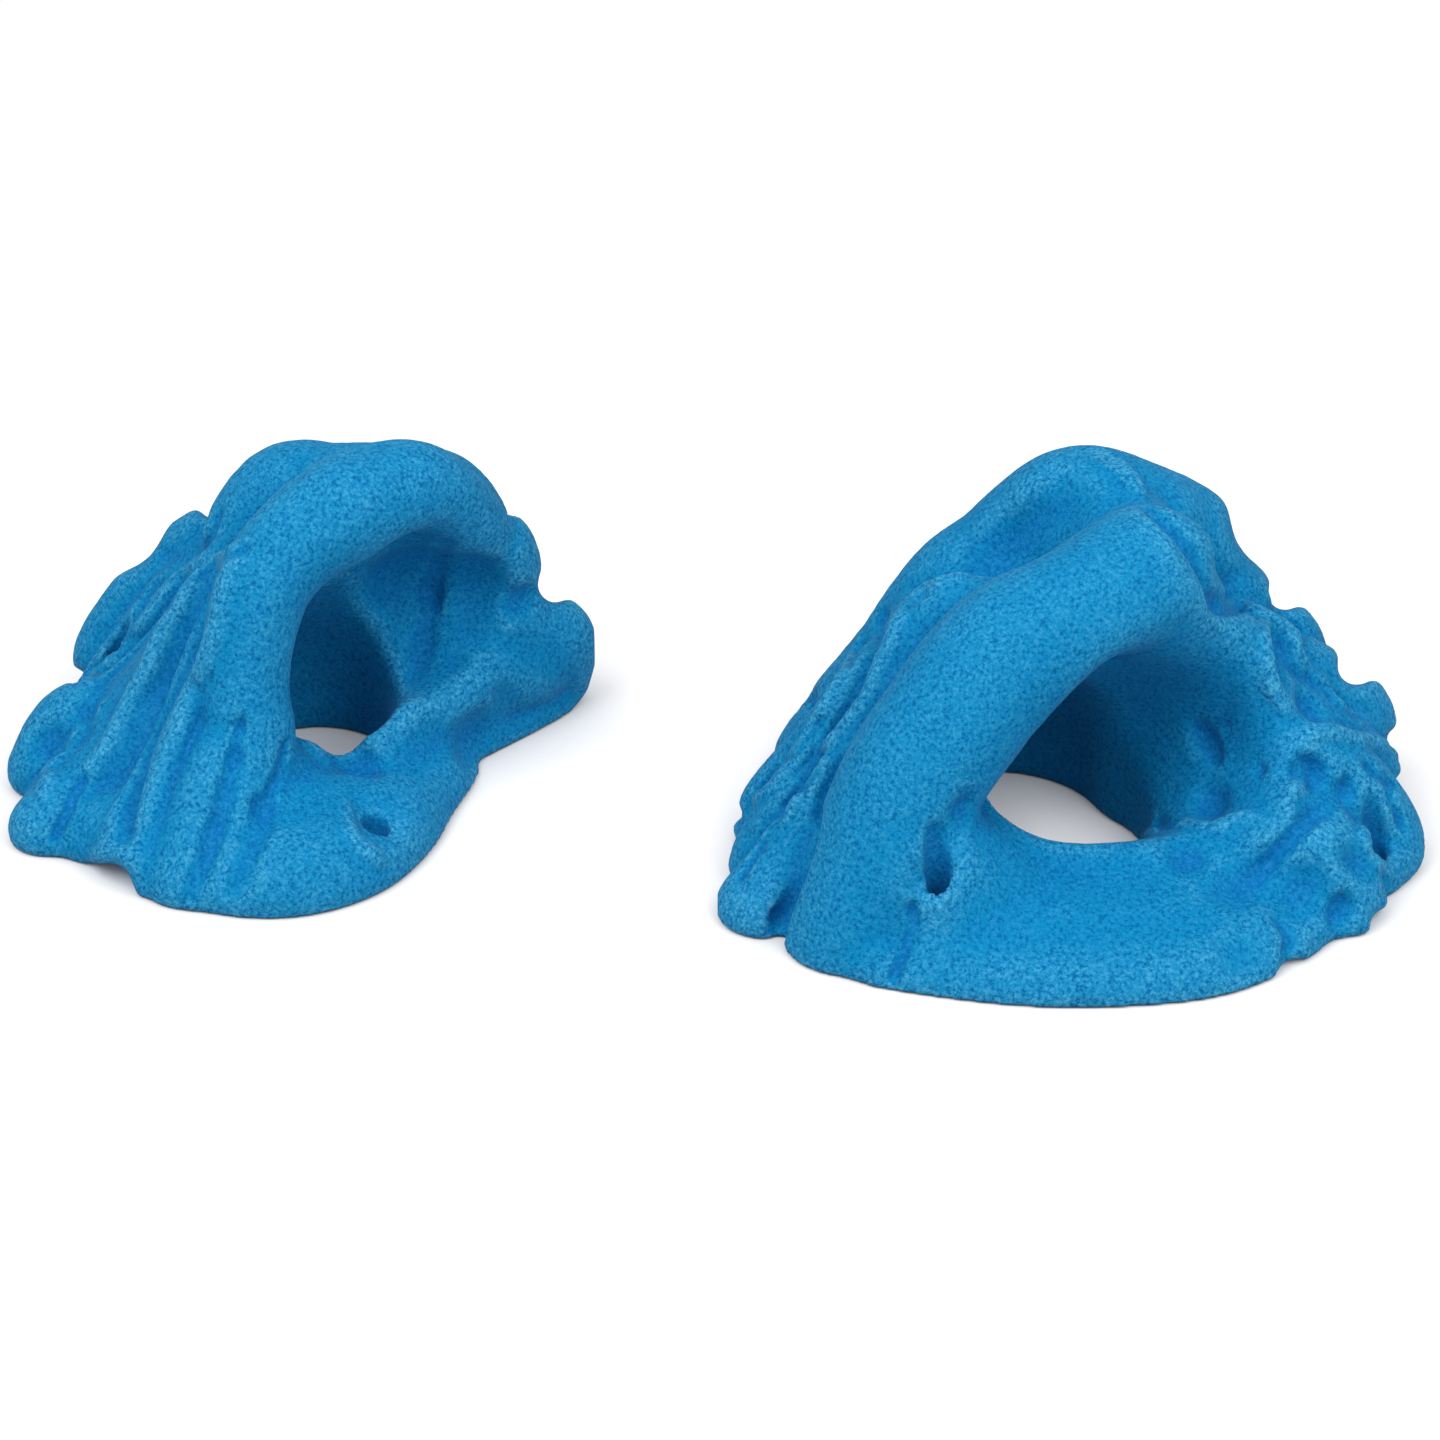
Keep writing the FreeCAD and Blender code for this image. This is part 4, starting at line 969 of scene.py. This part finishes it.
class OBJECT_OT_stage(bpy.types.Operator):
    """Sets up the pale floor, the soft lamps, the white room and the camera."""
    bl_idname = "climbing_holds.stage"
    bl_label = "Stage"

    def execute(self, context):
        stage = context.scene.climbing_holds.stage
        self.make_floor(context, stage)
        self.make_room(context, stage)
        self.make_camera(context, stage)
        for name, (place, size) in SOFTBOXES.items():
            lamp = bpy.data.lights.new(f"{name}_lamp", "AREA")
            lamp.shape = "SQUARE"
            lamp.size = size
            lamp.energy = getattr(stage, f"{name}_power")
            holder = bpy.data.objects.new(f"{name}_lamp", lamp)
            holder.location = place
            holder.rotation_euler = (-Vector(place)).to_track_quat("-Z", "Y").to_euler()
            context.scene.collection.objects.link(holder)
        return {"FINISHED"}

    def make_floor(self, context, stage):
        half = stage.floor_size / 2
        mesh = bpy.data.meshes.new("floor")
        mesh.from_pydata(
            [(-half, -half, 0), (half, -half, 0), (half, half, 0), (-half, half, 0)], [],
            [(0, 1, 2, 3)])
        floor = bpy.data.objects.new("floor", mesh)
        context.scene.collection.objects.link(floor)
        material = bpy.data.materials.new("floor_white")
        material.use_nodes = True
        shader = material.node_tree.nodes["Principled BSDF"]
        shader.inputs["Base Color"].default_value = stage.floor_color
        shader.inputs["Roughness"].default_value = 0.9
        shader.inputs["Specular IOR Level"].default_value = 0.0
        shader.inputs["Emission Color"].default_value = (1, 1, 1, 1)
        tree = material.node_tree
        seen = add_node(tree, "ShaderNodeLightPath").outputs["Is Camera Ray"]
        # The floor's camera-only glow fades where something hangs over it, painting shade on the
        # floor there
        open_above = add_node(tree, "ShaderNodeAmbientOcclusion", inputs={
            "Distance": FLOOR_LIFT_REACH}).outputs["AO"]
        lift = calculate(tree, "MULTIPLY", seen, stage.floor_lift)
        lift = calculate(tree, "MULTIPLY", lift, open_above)
        tree.links.new(lift, shader.inputs["Emission Strength"])
        mesh.materials.append(material)

    def make_room(self, context, stage):
        world = bpy.data.worlds.new("room")
        context.scene.world = world
        world.use_nodes = True
        tree = world.node_tree
        background = tree.nodes["Background"]
        background.inputs["Color"].default_value = (1, 1, 1, 1)
        path = add_node(tree, "ShaderNodeLightPath").outputs
        shown = path["Is Camera Ray"]
        for ray in ("Is Glossy Ray", "Is Transmission Ray"):
            shown = calculate(tree, "MAXIMUM", shown, path[ray])
        strength = ramp(tree, shown, (0.0, 1.0), (stage.room_strength, 1.0))
        tree.links.new(strength, background.inputs["Strength"])

    def make_camera(self, context, stage):
        camera = bpy.data.cameras.new("camera")
        camera.sensor_width = SENSOR_WIDTH
        camera.lens = stage.lens
        camera.clip_end = CLIP_END
        holder = bpy.data.objects.new("camera", camera)
        target, rise = Vector(stage.camera_target), stage.camera_elevation
        back = Vector((0, -math.cos(rise), math.sin(rise))) * stage.camera_distance
        holder.location = target + back
        holder.rotation_euler = (-back).to_track_quat("-Z", "Y").to_euler()
        context.scene.collection.objects.link(holder)
        context.scene.camera = holder
        context.scene.view_settings.view_transform = "Standard"


class VIEW3D_PT_climbing_holds(bpy.types.Panel):
    """The set's operators and settings."""
    bl_label = "Climbing Holds"
    bl_idname = "VIEW3D_PT_climbing_holds"
    bl_space_type = "VIEW_3D"
    bl_region_type = "UI"
    bl_category = "Climbing Holds"

    def draw(self, context):
        settings = context.scene.climbing_holds
        for step in STEPS:
            self.layout.operator(step.bl_idname)
        for group in ("large", "small", "sculpt", "finish", "stage"):
            box = self.layout.box()
            box.label(text=group.title())
            values = getattr(settings, group)
            for name in values.__annotations__:
                box.prop(values, name)


SETTINGS = (
    LargeSizes, SmallSizes, SculptSettings, FinishSettings, StageSettings, HoldsSettings)
STEPS = (OBJECT_OT_large_hold, OBJECT_OT_small_hold, OBJECT_OT_washers, OBJECT_OT_stage)


def register():
    for item in (*SETTINGS, *STEPS, VIEW3D_PT_climbing_holds):
        bpy.utils.register_class(item)
    bpy.types.Scene.climbing_holds = PointerProperty(type=HoldsSettings)


def unregister():
    del bpy.types.Scene.climbing_holds
    for item in reversed((*SETTINGS, *STEPS, VIEW3D_PT_climbing_holds)):
        bpy.utils.unregister_class(item)


def main():
    register()
    bpy.ops.climbing_holds.large_hold()
    bpy.ops.climbing_holds.small_hold()
    bpy.ops.climbing_holds.washers()
    bpy.ops.climbing_holds.stage()


if __name__ == "__main__":
    main()
